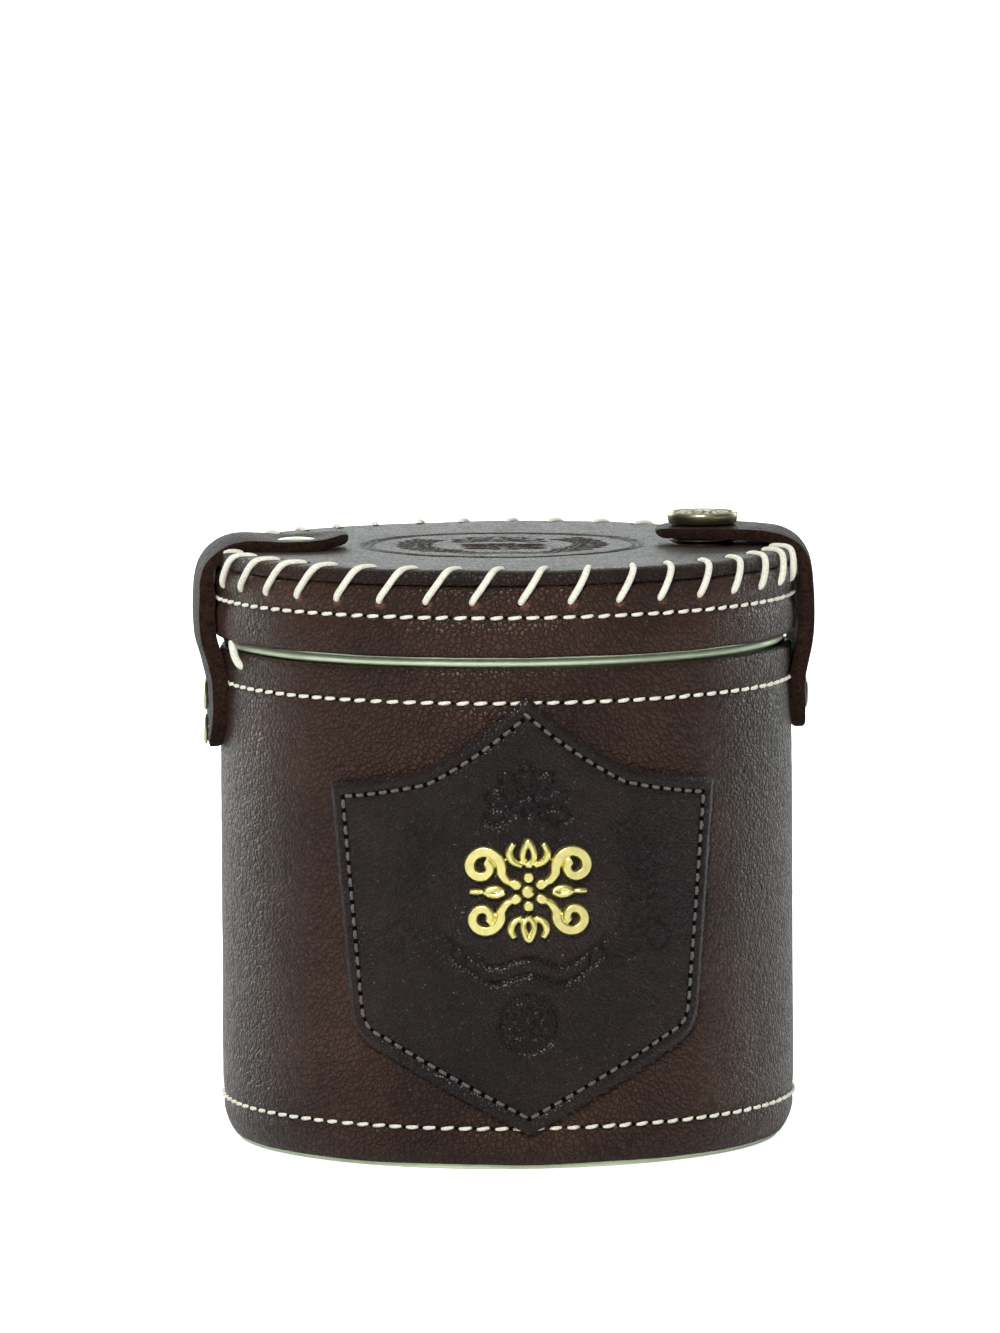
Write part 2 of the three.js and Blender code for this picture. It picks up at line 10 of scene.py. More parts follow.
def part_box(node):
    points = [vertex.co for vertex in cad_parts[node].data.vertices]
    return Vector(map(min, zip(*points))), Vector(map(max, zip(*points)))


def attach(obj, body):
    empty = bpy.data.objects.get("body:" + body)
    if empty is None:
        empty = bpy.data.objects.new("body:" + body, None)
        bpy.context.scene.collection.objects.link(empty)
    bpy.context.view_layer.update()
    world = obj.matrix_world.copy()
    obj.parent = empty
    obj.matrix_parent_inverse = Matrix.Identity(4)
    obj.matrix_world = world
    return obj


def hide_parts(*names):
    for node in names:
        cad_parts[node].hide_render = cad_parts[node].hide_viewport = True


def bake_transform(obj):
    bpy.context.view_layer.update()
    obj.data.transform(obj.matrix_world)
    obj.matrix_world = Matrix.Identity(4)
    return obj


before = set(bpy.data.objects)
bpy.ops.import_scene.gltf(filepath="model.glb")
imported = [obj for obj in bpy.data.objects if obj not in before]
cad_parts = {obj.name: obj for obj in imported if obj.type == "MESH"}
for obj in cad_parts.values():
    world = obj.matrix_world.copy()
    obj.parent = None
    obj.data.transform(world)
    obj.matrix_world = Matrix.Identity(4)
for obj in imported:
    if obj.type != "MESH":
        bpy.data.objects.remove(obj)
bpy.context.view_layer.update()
random.seed(12)

MM = 0.001
TURN = 2 * math.pi
WORLD_FILL = 0.15
FLOOR_LIFT = 0.75
COOL = (0.9, 1.0, 0.98)


def add_object(name, data):
    """A new object in the scene that holds this data."""
    made = bpy.data.objects.new(name, data)
    bpy.context.scene.collection.objects.link(made)
    return made


# ------------------------------------------------------------------ camera
def studio_camera():
    """A long lens at the cup's front, a little above the lid, turned towards the hinge side."""
    aim = Vector((0, 0, 48.36 * MM))
    distance = 1.8
    azimuth, elevation = math.radians(-4), math.radians(6.69)
    back = Vector((
        math.sin(azimuth) * math.cos(elevation),
        -math.cos(azimuth) * math.cos(elevation),
        math.sin(elevation),
    ))
    data = bpy.data.cameras.new("studio_camera")
    data.lens = 289.3
    data.sensor_width = 36
    data.clip_end = 50
    camera = add_object("studio_camera", data)
    look = (-back).to_track_quat("-Z", "Y").to_matrix()
    roll = Euler((0, 0, math.radians(-0.34))).to_matrix()
    tilt = Euler((math.radians(0.9545), math.radians(0.0369), 0)).to_matrix()
    camera.matrix_world = Matrix.Translation(aim + back * distance) @ (look @ roll @ tilt).to_4x4()
    bpy.context.scene.camera = camera


studio_camera()


# ------------------------------------------------------------------ node helpers
def fill(tree, made, values):
    """Sets a node's inputs, or links them where the value is another node's output."""
    for key, value in values.items():
        if isinstance(value, bpy.types.NodeSocket):
            tree.links.new(value, made.inputs[key])
        else:
            made.inputs[key].default_value = value
    return made


def add(tree, kind, values={}, **settings):
    """A shader node with its settings, and its inputs set or linked by name or number."""
    made = tree.nodes.new("ShaderNode" + kind)
    for key, value in settings.items():
        setattr(made, key, value)
    return fill(tree, made, values)


def math_node(tree, operation, *values):
    return add(tree, "Math", dict(enumerate(values)), operation=operation).outputs[0]


def mix_colour(tree, factor, first, second):
    return add(tree, "Mix", {0: factor, 6: first, 7: second}, data_type="RGBA").outputs[2]


def remap(tree, value, low, high, to_low=0.0, to_high=1.0):
    return add(tree, "MapRange", {
        "Value": value, "From Min": low, "From Max": high, "To Min": to_low, "To Max": to_high,
    }, interpolation_type="SMOOTHSTEP").outputs[0]


def start_group(name, inputs, outputs):
    """An empty node group with named sockets: (tree, its inputs' sockets, its output node)."""
    tree = bpy.data.node_groups.new(name, "ShaderNodeTree")
    kinds = {"f": "NodeSocketFloat", "c": "NodeSocketColor", "v": "NodeSocketVector"}
    for label, kind, default in inputs:
        socket = tree.interface.new_socket(name=label, in_out="INPUT", socket_type=kinds[kind])
        if default is not None:
            socket.default_value = default
    for label, kind in outputs:
        tree.interface.new_socket(name=label, in_out="OUTPUT", socket_type=kinds[kind])
    return tree, tree.nodes.new("NodeGroupInput").outputs, tree.nodes.new("NodeGroupOutput")


def place(tree, group, values):
    """A node group placed in a material, with its own values."""
    return fill(tree, add(tree, "Group", node_tree=group), values).outputs


def rgb(red, green, blue):
    """A colour given as 0 to 255 display values, as the shader wants it."""
    def linear(value):
        value /= 255
        return value / 12.92 if value <= 0.04045 else ((value + 0.055) / 1.055) ** 2.4
    return (linear(red), linear(green), linear(blue), 1)


# ------------------------------------------------------------------ shared effects
def leather_grain_group():
    """Pebbled grain with fine creases between the pebbles and long soft wrinkles."""
    tree, given, out = start_group(
        "leather_grain",
        [("Vector", "v", None), ("Pebble", "f", 0.9), ("Wrinkle", "f", 0.5)],
        [("Height", "f"), ("Crease", "f")],
    )
    warp = add(tree, "TexNoise", {"Vector": given["Vector"], "Scale": 420.0, "Detail": 2.0})
    bent = add(tree, "VectorMath", {0: warp.outputs["Color"], 1: (0.0011, 0.0011, 0.0011)},
               operation="MULTIPLY")
    moved = add(tree, "VectorMath", {0: given["Vector"], 1: bent.outputs[0]}, operation="ADD")
    pitch = math_node(tree, "DIVIDE", 1000.0, given["Pebble"])
    pebbles = add(tree, "TexVoronoi", {
        "Vector": moved.outputs[0], "Scale": pitch, "Smoothness": 0.35}, feature="SMOOTH_F1")
    cracks = add(tree, "TexVoronoi", {"Vector": moved.outputs[0], "Scale": pitch},
                 feature="DISTANCE_TO_EDGE")
    crease = remap(tree, cracks.outputs["Distance"], 0.0, 0.15, 1.0, 0.0)
    wrinkles = add(tree, "TexNoise", {"Vector": given["Vector"], "Scale": 260.0, "Detail": 4.0,
                                      "Roughness": 0.6, "Distortion": 1.2})
    pores = add(tree, "TexNoise", {"Vector": given["Vector"], "Scale": 3200.0, "Detail": 2.0})
    dome = math_node(tree, "SUBTRACT", 1.0, pebbles.outputs["Distance"])
    raised = math_node(tree, "MULTIPLY_ADD", crease, -0.8, math_node(tree, "MULTIPLY", dome, 0.6))
    folds = math_node(tree, "MULTIPLY", wrinkles.outputs[0], given["Wrinkle"])
    coarse = math_node(tree, "ADD", raised, folds)
    total = math_node(tree, "MULTIPLY_ADD", pores.outputs[0], 0.12, coarse)
    tree.links.new(total, out.inputs["Height"])
    tree.links.new(crease, out.inputs["Crease"])
    return tree


def hide_tone_group():
    """Uneven dye in broad clouds and pale specks, with painted shade darkening the grain's creases.
    """
    tree, given, out = start_group(
        "hide_tone",
        [("Vector", "v", None), ("Base", "c", None), ("Deep", "c", None), ("Pale", "c", None),
         ("Crease", "f", 0.0)],
        [("Color", "c")],
    )
    clouds = add(tree, "TexNoise", {"Vector": given["Vector"], "Scale": 38.0, "Detail": 5.0,
                                    "Roughness": 0.62})
    specks = add(tree, "TexNoise", {"Vector": given["Vector"], "Scale": 900.0, "Detail": 3.0})
    tone = mix_colour(tree, remap(tree, clouds.outputs[0], 0.52, 0.3), given["Base"], given["Deep"])
    tone = mix_colour(tree, remap(tree, clouds.outputs[0], 0.5, 0.74), tone, given["Pale"])
    speck = remap(tree, specks.outputs[0], 0.35, 0.7, 0.0, 0.22)
    tone = mix_colour(tree, speck, tone, given["Pale"])
    # Painted shade: the grain's creases are darkened towards the deep colour, as if shadowed.
    shade = math_node(tree, "MULTIPLY", given["Crease"], 0.7)
    tone = mix_colour(tree, shade, tone, given["Deep"])
    tree.links.new(tone, out.inputs["Color"])
    return tree


def ring_marks_group():
    """Round marks evenly spaced round the cup at one height, as at the lacing holes."""
    tree, given, out = start_group(
        "ring_marks",
        [("Vector", "v", None), ("Count", "f", 38.0), ("Phase", "f", 0.0), ("Height", "f", 93.4),
         ("Radius", "f", 1.0), ("Cup radius", "f", 49.0), ("Tall", "f", 1.0)],
        [("Mask", "f")],
    )
    parts = add(tree, "SeparateXYZ", {0: given["Vector"]})
    minus_y = math_node(tree, "MULTIPLY", parts.outputs["Y"], -1.0)
    angle = math_node(tree, "ARCTAN2", parts.outputs["X"], minus_y)
    turns = math_node(tree, "DIVIDE", angle, TURN)
    place_on = math_node(tree, "MULTIPLY_ADD", turns, given["Count"], given["Phase"])
    step = math_node(tree, "FRACT", math_node(tree, "ADD", place_on, 0.5))
    offset = math_node(tree, "SUBTRACT", step, 0.5)
    way_round = math_node(tree, "MULTIPLY", given["Cup radius"], TURN)
    pitch = math_node(tree, "DIVIDE", way_round, given["Count"])
    across = math_node(tree, "MULTIPLY", offset, pitch)
    height = math_node(tree, "MULTIPLY", parts.outputs["Z"], 1000.0)
    above = math_node(tree, "SUBTRACT", height, given["Height"])
    up = math_node(tree, "DIVIDE", above, given["Tall"])
    reach = math_node(tree, "SQRT", math_node(
        tree, "ADD", math_node(tree, "POWER", across, 2.0), math_node(tree, "POWER", up, 2.0)))
    wobble = add(tree, "TexNoise", {"Vector": given["Vector"], "Scale": 1300.0, "Detail": 2.0})
    inside = math_node(tree, "SUBTRACT", reach, 0.45)
    ragged = math_node(tree, "MULTIPLY_ADD", wobble.outputs[0], 0.9, inside)
    mask = remap(tree, math_node(tree, "DIVIDE", ragged, given["Radius"]), 1.15, 0.55)
    tree.links.new(mask, out.inputs["Mask"])
    return tree


def fibre_group():
    """Matted fibres: raw leather edges, felt and the twist of thread."""
    tree, given, out = start_group(
        "fibres",
        [("Vector", "v", None), ("Scale", "f", 1800.0)],
        [("Height", "f"), ("Fleck", "f")],
    )
    coarse = add(tree, "TexNoise", {"Vector": given["Vector"], "Scale": given["Scale"],
                                    "Detail": 5.0, "Roughness": 0.7, "Distortion": 1.5})
    fine_scale = math_node(tree, "MULTIPLY", given["Scale"], 3.1)
    fine = add(tree, "TexNoise", {"Vector": given["Vector"], "Scale": fine_scale, "Detail": 2.0,
                                  "Distortion": 3.0})
    height = math_node(tree, "MULTIPLY_ADD", fine.outputs[0], 0.5, coarse.outputs[0])
    tree.links.new(height, out.inputs["Height"])
    tree.links.new(remap(tree, coarse.outputs[0], 0.35, 0.65), out.inputs["Fleck"])
    return tree


def patina_group():
    """Tarnish that gathers in patches, with fine scratches that show as height."""
    tree, given, out = start_group(
        "patina",
        [("Vector", "v", None), ("Scale", "f", 300.0)],
        [("Tarnish", "f"), ("Height", "f")],
    )
    patches = add(tree, "TexNoise", {"Vector": given["Vector"], "Scale": given["Scale"],
                                     "Detail": 6.0, "Roughness": 0.68})
    stretch = add(tree, "Mapping", {"Vector": given["Vector"], "Scale": (300.0, 5200.0, 5200.0),
                                    "Rotation": (0.3, 0.5, 0.4)})
    scratches = add(tree, "TexNoise", {"Vector": stretch.outputs[0], "Scale": 1.0, "Detail": 2.0})
    tree.links.new(remap(tree, patches.outputs[0], 0.42, 0.68), out.inputs["Tarnish"])
    tree.links.new(scratches.outputs[0], out.inputs["Height"])
    return tree


GRAIN = leather_grain_group()
DYE_AND_CREASE_SHADE = hide_tone_group()
MARKS = ring_marks_group()
FIBRES = fibre_group()
PATINA = patina_group()


# ------------------------------------------------------------------ materials
def start_material(name):
    """(material, its tree, Object coordinates, its Principled shader)"""
    made = bpy.data.materials.new(name)
    made.use_nodes = True
    tree = made.node_tree
    shader = tree.nodes["Principled BSDF"]
    where = add(tree, "TexCoord").outputs["Object"]
    return made, tree, where, shader


def bump(tree, shader, height, distance):
    made = add(tree, "Bump", {"Height": height, "Distance": distance * MM})
    tree.links.new(made.outputs[0], shader.inputs["Normal"])


def leather(name, base, deep, pale, pebble=0.9, wrinkle=0.5, depth=0.1, rough=(0.42, 0.62),
            pressed=None, holes=None, gloss=0.18):
    """Finished hide. pressed is the colour of tooled lines, and holes describes lacing marks."""
    made, tree, where, shader = start_material(name)
    grain = place(tree, GRAIN, {"Vector": where, "Pebble": pebble, "Wrinkle": wrinkle})
    # The tone holds the dye's clouds and specks, and painted shade in the grain's creases.
    tone = place(tree, DYE_AND_CREASE_SHADE, {"Vector": where, "Base": base, "Deep": deep, "Pale": pale,
                              "Crease": grain["Crease"]})["Color"]
    roughness = remap(tree, grain["Height"], 0.2, 1.4, rough[1], rough[0])
    if pressed is not None:
        lines = add(tree, "Attribute", attribute_name="pressed").outputs["Fac"]
        tone = mix_colour(tree, math_node(tree, "MULTIPLY", lines, 0.75), tone, pressed)
        roughness = math_node(tree, "MULTIPLY_ADD", lines, 0.1, roughness)
    if holes is not None:
        marks = place(tree, MARKS, {"Vector": where, **holes["ring"]})["Mask"]
        tone = mix_colour(tree, math_node(tree, "MULTIPLY", marks, 0.8), tone, holes["colour"])
        roughness = math_node(tree, "MULTIPLY_ADD", marks, 0.25, roughness)
    fill(tree, shader, {"Base Color": tone, "Roughness": roughness, "Specular IOR Level": gloss})
    bump(tree, shader, grain["Height"], depth)
    return made


def raw_edge():
    """The cut edge of strap leather: dark dye over paler fibres."""
    made, tree, where, shader = start_material("raw_leather_edge")
    fibres = place(tree, FIBRES, {"Vector": where, "Scale": 1500.0})
    tone = mix_colour(tree, fibres["Fleck"], rgb(24, 15, 12), rgb(54, 37, 30))
    fill(tree, shader, {"Base Color": tone, "Roughness": 0.85, "Specular IOR Level": 0.05})
    bump(tree, shader, fibres["Height"], 0.25)
    return made


def thread(name, base, shadow):
    """Twisted thread, paler on its raised fibres."""
    made, tree, where, shader = start_material(name)
    fibres = place(tree, FIBRES, {"Vector": where, "Scale": 2600.0})
    tone = mix_colour(tree, fibres["Fleck"], shadow, base)
    roughness = remap(tree, fibres["Fleck"], 0.0, 1.0, 0.8, 0.55)
    fill(tree, shader, {"Base Color": tone, "Roughness": roughness, "Sheen Weight": 0.25})
    bump(tree, shader, fibres["Height"], 0.12)
    return made


def metal(name, bright, tarnished, rough, scale, pressed=None, metallic=1.0):
    """Worn metal. pressed is the colour that the pressed layer darkens it to: sunken lines, and the
    foot of the emblem's strokes.
    """
    made, tree, where, shader = start_material(name)
    patina = place(tree, PATINA, {"Vector": where, "Scale": scale})
    tone = mix_colour(tree, math_node(tree, "MULTIPLY", patina["Tarnish"], 0.6), bright, tarnished)
    roughness = remap(tree, patina["Tarnish"], 0.0, 1.0, rough[0], rough[1])
    if pressed is not None:
        low = add(tree, "Attribute", attribute_name="pressed").outputs["Fac"]
        tone = mix_colour(tree, low, tone, pressed)
        roughness = math_node(tree, "MULTIPLY_ADD", low, 0.25, roughness)
    fill(tree, shader, {"Base Color": tone, "Roughness": roughness, "Metallic": metallic})
    bump(tree, shader, patina["Height"], 0.01)
    return made


def soft(name, base, shade, scale=900.0, depth=0.3, sheen=0.5):
    """Dull fibrous stuff: felt and board, and the painted shade inside a needle hole."""
    made, tree, where, shader = start_material(name)
    fibres = place(tree, FIBRES, {"Vector": where, "Scale": scale})
    tone = mix_colour(tree, fibres["Fleck"], shade, base)
    fill(tree, shader, {"Base Color": tone, "Roughness": 0.95, "Specular IOR Level": 0.05,
                        "Sheen Weight": sheen})
    bump(tree, shader, fibres["Height"], depth)
    return made


LACING_COUNT = 38
LACING_TURN = TURN / LACING_COUNT
LACING_START = math.radians(-0.4)
LACING_LEAN = math.radians(5.6)
LEAN_SPREAD = math.radians(1.9)

HOLES_IN_BAND = {
    "colour": rgb(98, 68, 52),
    "ring": {"Count": float(LACING_COUNT), "Phase": -LACING_START / LACING_TURN, "Height": 93.35,
             "Radius": 1.0, "Cup radius": 49.0, "Tall": 0.8},
}
BODY_LEATHER = leather("body_leather", rgb(51, 34, 27), rgb(34, 22, 18), rgb(70, 48, 38),
                       pebble=0.9, wrinkle=1.5, depth=0.23, rough=(0.34, 0.52))
BAND_LEATHER = leather("band_leather", rgb(55, 36, 28), rgb(37, 24, 19), rgb(75, 51, 40),
                       pebble=0.85, wrinkle=1.6, depth=0.23, rough=(0.34, 0.52),
                       holes=HOLES_IN_BAND)
LID_LEATHER = leather("lid_leather", rgb(48, 33, 27), rgb(32, 22, 19), rgb(66, 48, 40),
                      pebble=0.8, wrinkle=1.4, depth=0.12, rough=(0.42, 0.58),
                      pressed=rgb(20, 13, 11), gloss=0.3)
PATCH_LEATHER = leather("patch_leather", rgb(29, 21, 20), rgb(18, 13, 13), rgb(48, 35, 31),
                        pebble=0.6, wrinkle=1.6, depth=0.13, rough=(0.3, 0.46),
                        pressed=rgb(8, 5, 5), gloss=0.22)
PATCH_EDGE = leather("patch_edge", rgb(17, 11, 10), rgb(10, 7, 7), rgb(26, 18, 17),
                     pebble=0.6, wrinkle=1.6, depth=0.12, rough=(0.5, 0.7), gloss=0.12)
STRAP_LEATHER = leather("strap_leather", rgb(42, 28, 23), rgb(27, 18, 15), rgb(60, 42, 35),
                        pebble=0.6, wrinkle=1.2, depth=0.1, rough=(0.44, 0.62), gloss=0.1)
CUT_EDGE = leather("cut_leather_edge", rgb(40, 27, 22), rgb(22, 15, 13), rgb(60, 42, 34),
                   pebble=0.8, wrinkle=1.6, depth=0.2, rough=(0.42, 0.66))
RAW_EDGE = raw_edge()
CREAM_THREAD = thread("cream_thread", rgb(244, 243, 228), rgb(205, 203, 182))
GREY_THREAD = thread("grey_thread", rgb(102, 97, 94), rgb(58, 54, 53))
TINPLATE = metal("tinplate", (0.6, 0.71, 0.5, 1), (0.5, 0.6, 0.41, 1),
                 rough=(0.46, 0.6), scale=180.0, metallic=0.35)
GOLD = metal("gold_metal", (0.8, 0.73, 0.29, 1), (0.64, 0.58, 0.22, 1),
             rough=(0.32, 0.42), scale=700.0, pressed=(0.16, 0.12, 0.04, 1))
ANTIQUE = metal("antique_brass", (0.34, 0.32, 0.2, 1), (0.2, 0.18, 0.11, 1),
                rough=(0.32, 0.46), scale=900.0, pressed=(0.05, 0.045, 0.035, 1))
RIVET_METAL = metal("rivet_metal", (0.46, 0.46, 0.29, 1), (0.34, 0.34, 0.2, 1),
                    rough=(0.28, 0.4), scale=600.0)
FELT = soft("lining_felt", rgb(58, 49, 46), rgb(34, 28, 27))
CARD = soft("card_board", rgb(150, 132, 104), rgb(118, 102, 80),
            scale=2400.0, depth=0.08, sheen=0.0)
# Painted shade: a near-black material for the dark inside the needle holes, which are not cut into
# the leather.
NEEDLE_HOLE_SHADE = soft("needle_hole_shade", rgb(8, 6, 6), rgb(3, 2, 2), scale=3000.0, depth=0.05, sheen=0.0)


# ------------------------------------------------------------------ mesh helpers
def keep(bm, name, body, materials, stands_for=(), sharp=40):
    """Writes a bmesh, whose numbers are millimetres, as a finished piece that rides on a body."""
    bmesh.ops.scale(bm, vec=(MM, MM, MM), verts=bm.verts)
    mesh = bpy.data.meshes.new(name)
    bm.to_mesh(mesh)
    bm.free()
    return keep_mesh(mesh, name, body, materials, stands_for, sharp)


def keep_mesh(mesh, name, body, materials, stands_for=(), sharp=40):
    mesh.shade_smooth()
    mesh.set_sharp_from_angle(angle=math.radians(sharp))
    for material in materials:
        mesh.materials.append(material)
    piece = add_object(name, mesh)
    if body is not None:
        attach(piece, body)
    if stands_for:
        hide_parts(*stands_for)
    return piece


def rounded(points, radius, steps=4):
    """A closed outline with each corner rounded, as far as its sides allow."""
    out = []
    for i, corner in enumerate(points):
        before, after = Vector(points[i - 1]), Vector(points[(i + 1) % len(points)])
        corner = Vector(corner)
        if corner.x == 0:
            out.append(corner)
            continue
        cut = min(radius, (before - corner).length * 0.45, (after - corner).length * 0.45)
        start = corner + (before - corner).normalized() * cut
        end = corner + (after - corner).normalized() * cut
        for k in range(steps + 1):
            t = k / steps
            out.append(start * (1 - t) ** 2 + corner * 2 * t * (1 - t) + end * t * t)
    return out


def turned(outline, steps=160):
    """A solid of revolution about Z from a closed outline of (radius, height)."""
    bm = bmesh.new()
    verts = [bm.verts.new((point[0], 0, point[1])) for point in outline]
    pairs = list(zip(verts, verts[1:]))
    if outline[0][0] != 0:
        pairs.append((verts[-1], verts[0]))
    edges = [bm.edges.new(pair) for pair in pairs]
    bmesh.ops.spin(bm, geom=verts + edges, cent=(0, 0, 0), axis=(0, 0, 1), angle=TURN, steps=steps,
                   use_merge=True)
    bmesh.ops.remove_doubles(bm, verts=bm.verts, dist=1e-4)
    bmesh.ops.recalc_face_normals(bm, faces=bm.faces)
    return bm


def shifted(bm, x=0.0, y=0.0, z=0.0):
    bmesh.ops.translate(bm, vec=(x, y, z), verts=bm.verts)
    return bm


def roughen(bm, size, amount, seed=0.0):
    """Small unevenness of hand-worked leather, along each vertex's own normal."""
    bm.normal_update()
    shift = Vector((seed, seed * 1.7, seed * 0.3))
    for vert in bm.verts:
        vert.co += vert.normal * (amount * noise.noise(vert.co / size + shift))


def finished_mesh(source):
    """The mesh that a curve or modified object ends up as. The object itself is removed."""
    bpy.context.view_layer.update()
    graph = bpy.context.evaluated_depsgraph_get()
    mesh = bpy.data.meshes.new_from_object(source.evaluated_get(graph))
    bpy.data.objects.remove(source)
    return mesh


def corded(name, runs, radius, sides):
    """A mesh of round cords along runs of (x, y, z, share of the radius), in millimetres."""
    data = bpy.data.curves.new(name, "CURVE")
    data.dimensions = "3D"
    data.bevel_depth = radius * MM
    data.bevel_resolution = sides
    data.use_fill_caps = True
    for run in runs:
        spline = data.splines.new("POLY")
        spline.points.add(len(run) - 1)
        for point, (x, y, z, share) in zip(spline.points, run):
            point.co = (x * MM, y * MM, z * MM, 1)
            point.radius = share
    return finished_mesh(add_object(name + "_path", data))


def threads(name, runs, radius, body, material, stands_for=(), sides=2):
    """One piece of many thread runs."""
    mesh = corded(name, runs, radius, sides)
    mesh.name = name
    mesh.materials.clear()
    return keep_mesh(mesh, name, body, [material], stands_for, sharp=60)


def on_ring(radius, angle, height):
    """The place at this angle round Z, counted from the front at -Y."""
    return radius * math.sin(angle), -radius * math.cos(angle), height


def whole(bm):
    """Everything in a bmesh, as its cutting operator wants it."""
    return bm.verts[:] + bm.edges[:] + bm.faces[:]


def extruded(bm):
    """Extrudes all the faces where they lie and returns the new vertices."""
    made = bmesh.ops.extrude_face_region(bm, geom=bm.faces[:], use_keep_orig=True)
    return [v for v in made["geom"] if isinstance(v, bmesh.types.BMVert)]


def box(node):
    """The CAD node's box in millimetres: its low corner and its high corner."""
    return [[value / MM for value in corner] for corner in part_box(node)]


def middle_x(node):
    low, high = box(node)
    return (low[0] + high[0]) / 2


def smooth_path(points, steps):
    """Points along a Catmull-Rom curve through the given points, as an array."""
    given = np.array(points, float)
    ends = np.vstack([2 * given[0] - given[1], given, 2 * given[-1] - given[-2]])
    out = []
    for i in range(len(given) - 1):
        a, b, c, d = ends[i:i + 4]
        for t in np.arange(steps) / steps:
            out.append(0.5 * (2 * b + (c - a) * t + (2 * a - 5 * b + 4 * c - d) * t * t
                              + (3 * b - a - 3 * c + d) * t ** 3))
    out.append(given[-1])
    return np.array(out)


# ------------------------------------------------------------------ tin, linings and base
def tin_pieces():
    """The stamped base with its rolled rim, and the wall with its beaded neck."""
    rim = box("can_base")[1][0]
    outline = [(0, 2.2)]
    for groove in (37.4, 41.6):
        outline += [(groove - 0.9, 2.2), (groove - 0.4, 1.75),
                    (groove + 0.4, 1.75), (groove + 0.9, 2.2)]
    outline += [(43.4, 2.2), (43.7, 0.5), (44.1, 0.08), (44.9, 0.0), (rim - 0.3, 0.12), (rim, 0.6),
                (rim, 3.1), (rim - 0.3, 3.4), (44.2, 3.4), (44.2, 2.9), (0, 2.9)]
    keep(turned(outline, 192), "base_of_tin", "cup", [TINPLATE], ["can_base"], 35)
    wall = [(44.2, 3.7), (44.9, 3.7), (44.9, 86.4), (45.05, 86.9), (45.1, 87.5), (44.95, 88.0),
            (44.6, 88.2), (44.25, 88.0), (44.15, 87.5), (44.2, 86.9)]
    keep(turned(wall, 192), "wall_of_tin", "cup", [TINPLATE], ["can_wall"], 50)


def felt_disk(low, high, edge, size, amount, seed):
    """A round of felt from one height to another, with a soft edge and an uneven face."""
    rings = (10, 20, 30, 40)
    outline = [(0, low)] + [(r, low) for r in rings] + edge
    outline += [(r, high) for r in rings[::-1]] + [(0, high)]
    bm = turned(outline, 96)
    roughen(bm, size, amount, seed)
    return bm


def linings():
    sleeve = rounded([(43.0, 4.3), (43.9, 4.3), (43.9, 87.2), (43.0, 87.2)], 0.3)
    bm = turned(sleeve, 144)
    tall = [e for e in bm.edges if e.calc_length() > 20]
    bmesh.ops.subdivide_edges(bm, edges=tall, cuts=40, use_grid_fill=True)
    roughen(bm, 6.0, 0.12, 3.0)
    keep(bm, "lining_sleeve", "cup", [FELT], ["cup_lining"])
    bm = felt_disk(4.3, 5.35, [(42.4, 4.4), (42.7, 4.9), (42.4, 5.3)], 9.0, 0.1, 8.0)
    keep(bm, "base_lining", "cup", [FELT], ["base_felt"])
    bm = felt_disk(92.4, 93.45, [(44.6, 92.4), (45.1, 92.9), (44.6, 93.4)], 9.0, 0.12, 5.0)
    keep(shifted(bm, x=LID_SHIFT), "lid_inner_lining", "lid", [FELT], ["lid_lining"])


def lid_tin_piece():
    bead = [(46.3 + 0.65 * math.cos(a), 83.72 + 0.65 * math.sin(a))
            for a in (math.radians(-165 + 20 * k) for k in range(13))]
    outline = [(0, 94.8), (45.3, 94.8), (45.8, 94.4), (45.8, 83.9)] + bead
    outline += [(46.5, 84.7), (46.5, 95.1), (46.1, 95.5), (0, 95.5)]
    bm = shifted(turned(outline, 192), x=LID_SHIFT)
    keep(bm, "lid_of_tin", "lid", [TINPLATE], ["lid_tin"], 50)


# ------------------------------------------------------------------ body leather and lid band
def pulled_in(height, rows, depth=0.28, width=1.3):
    """How far the stitches draw the leather in at this height."""
    return sum(depth * math.exp(-((height - row) / width) ** 2) for row in rows)


BODY_ROWS = (7.1, 77.2)
LID_ROW = 91.3
LID_RADIUS = 48.8
LID_SHIFT = -0.4


def body_radius(height):
    top = box("body_thread_top")[1][0]
    full = box("body_wrap")[1][0]
    radius = full + (top - full) * height / 83
    if height < 7.1:
        radius -= 1.75 * ((7.1 - height) / 6.2) ** 2.4
    return radius - pulled_in(height, BODY_ROWS)


def body_leather():
    low, high = 0.9, 82.8
    count = 116
    heights = [low + (high - low) * k / count for k in range(count + 1)]
    outer = [(body_radius(h), h) for h in heights[1:-1]]
    top = [(47.55, 82.55), (47.2, 82.8), (46.7, 82.75), (46.4, 82.3)]
    inner = [(46.4, h) for h in (70, 50, 30, 12)] + [(46.3, 5), (45.95, 3), (45.95, 1.1)]
    bm = turned([(46.15, 0.85)] + outer + top + inner, 240)
    roughen(bm, 14.0, 0.16, 1.0)
    roughen(bm, 3.0, 0.035, 2.0)
    bmesh.ops.bisect_plane(bm, geom=whole(bm), plane_co=(0, 0, 0), plane_no=(1, 0, 0))
    keep(bm, "body_leather_wrap", "cup", [BODY_LEATHER], ["body_wrap"], 60)


def lid_band():
    low, high = 84.8, 96.3
    heights = [low + (high - low) * k / 24 for k in range(25)]
    outer = []
    for h in heights[1:-1]:
        radius = LID_RADIUS - pulled_in(h, (LID_ROW,), 0.3) - 0.25 * max(0.0, (h - 94.0) / 2.3)
        radius += 0.22 * math.exp(-((h - 87.6) / 2.2) ** 2)
        outer.append((radius, h))
    rim = [(48.25, 84.72)] + outer + [(48.2, 96.35)]
    inner = [(47.0, 96.35), (46.9, 90), (46.95, 85.1), (47.3, 84.75)]
    bm = turned(rim + inner, 240)
    roughen(bm, 9.0, 0.14, 4.0)
    roughen(bm, 2.6, 0.04, 6.0)
    shifted(bm, x=LID_SHIFT)
    keep(bm, "lid_leather_band", "lid", [BAND_LEATHER], ["lid_band"], 60)


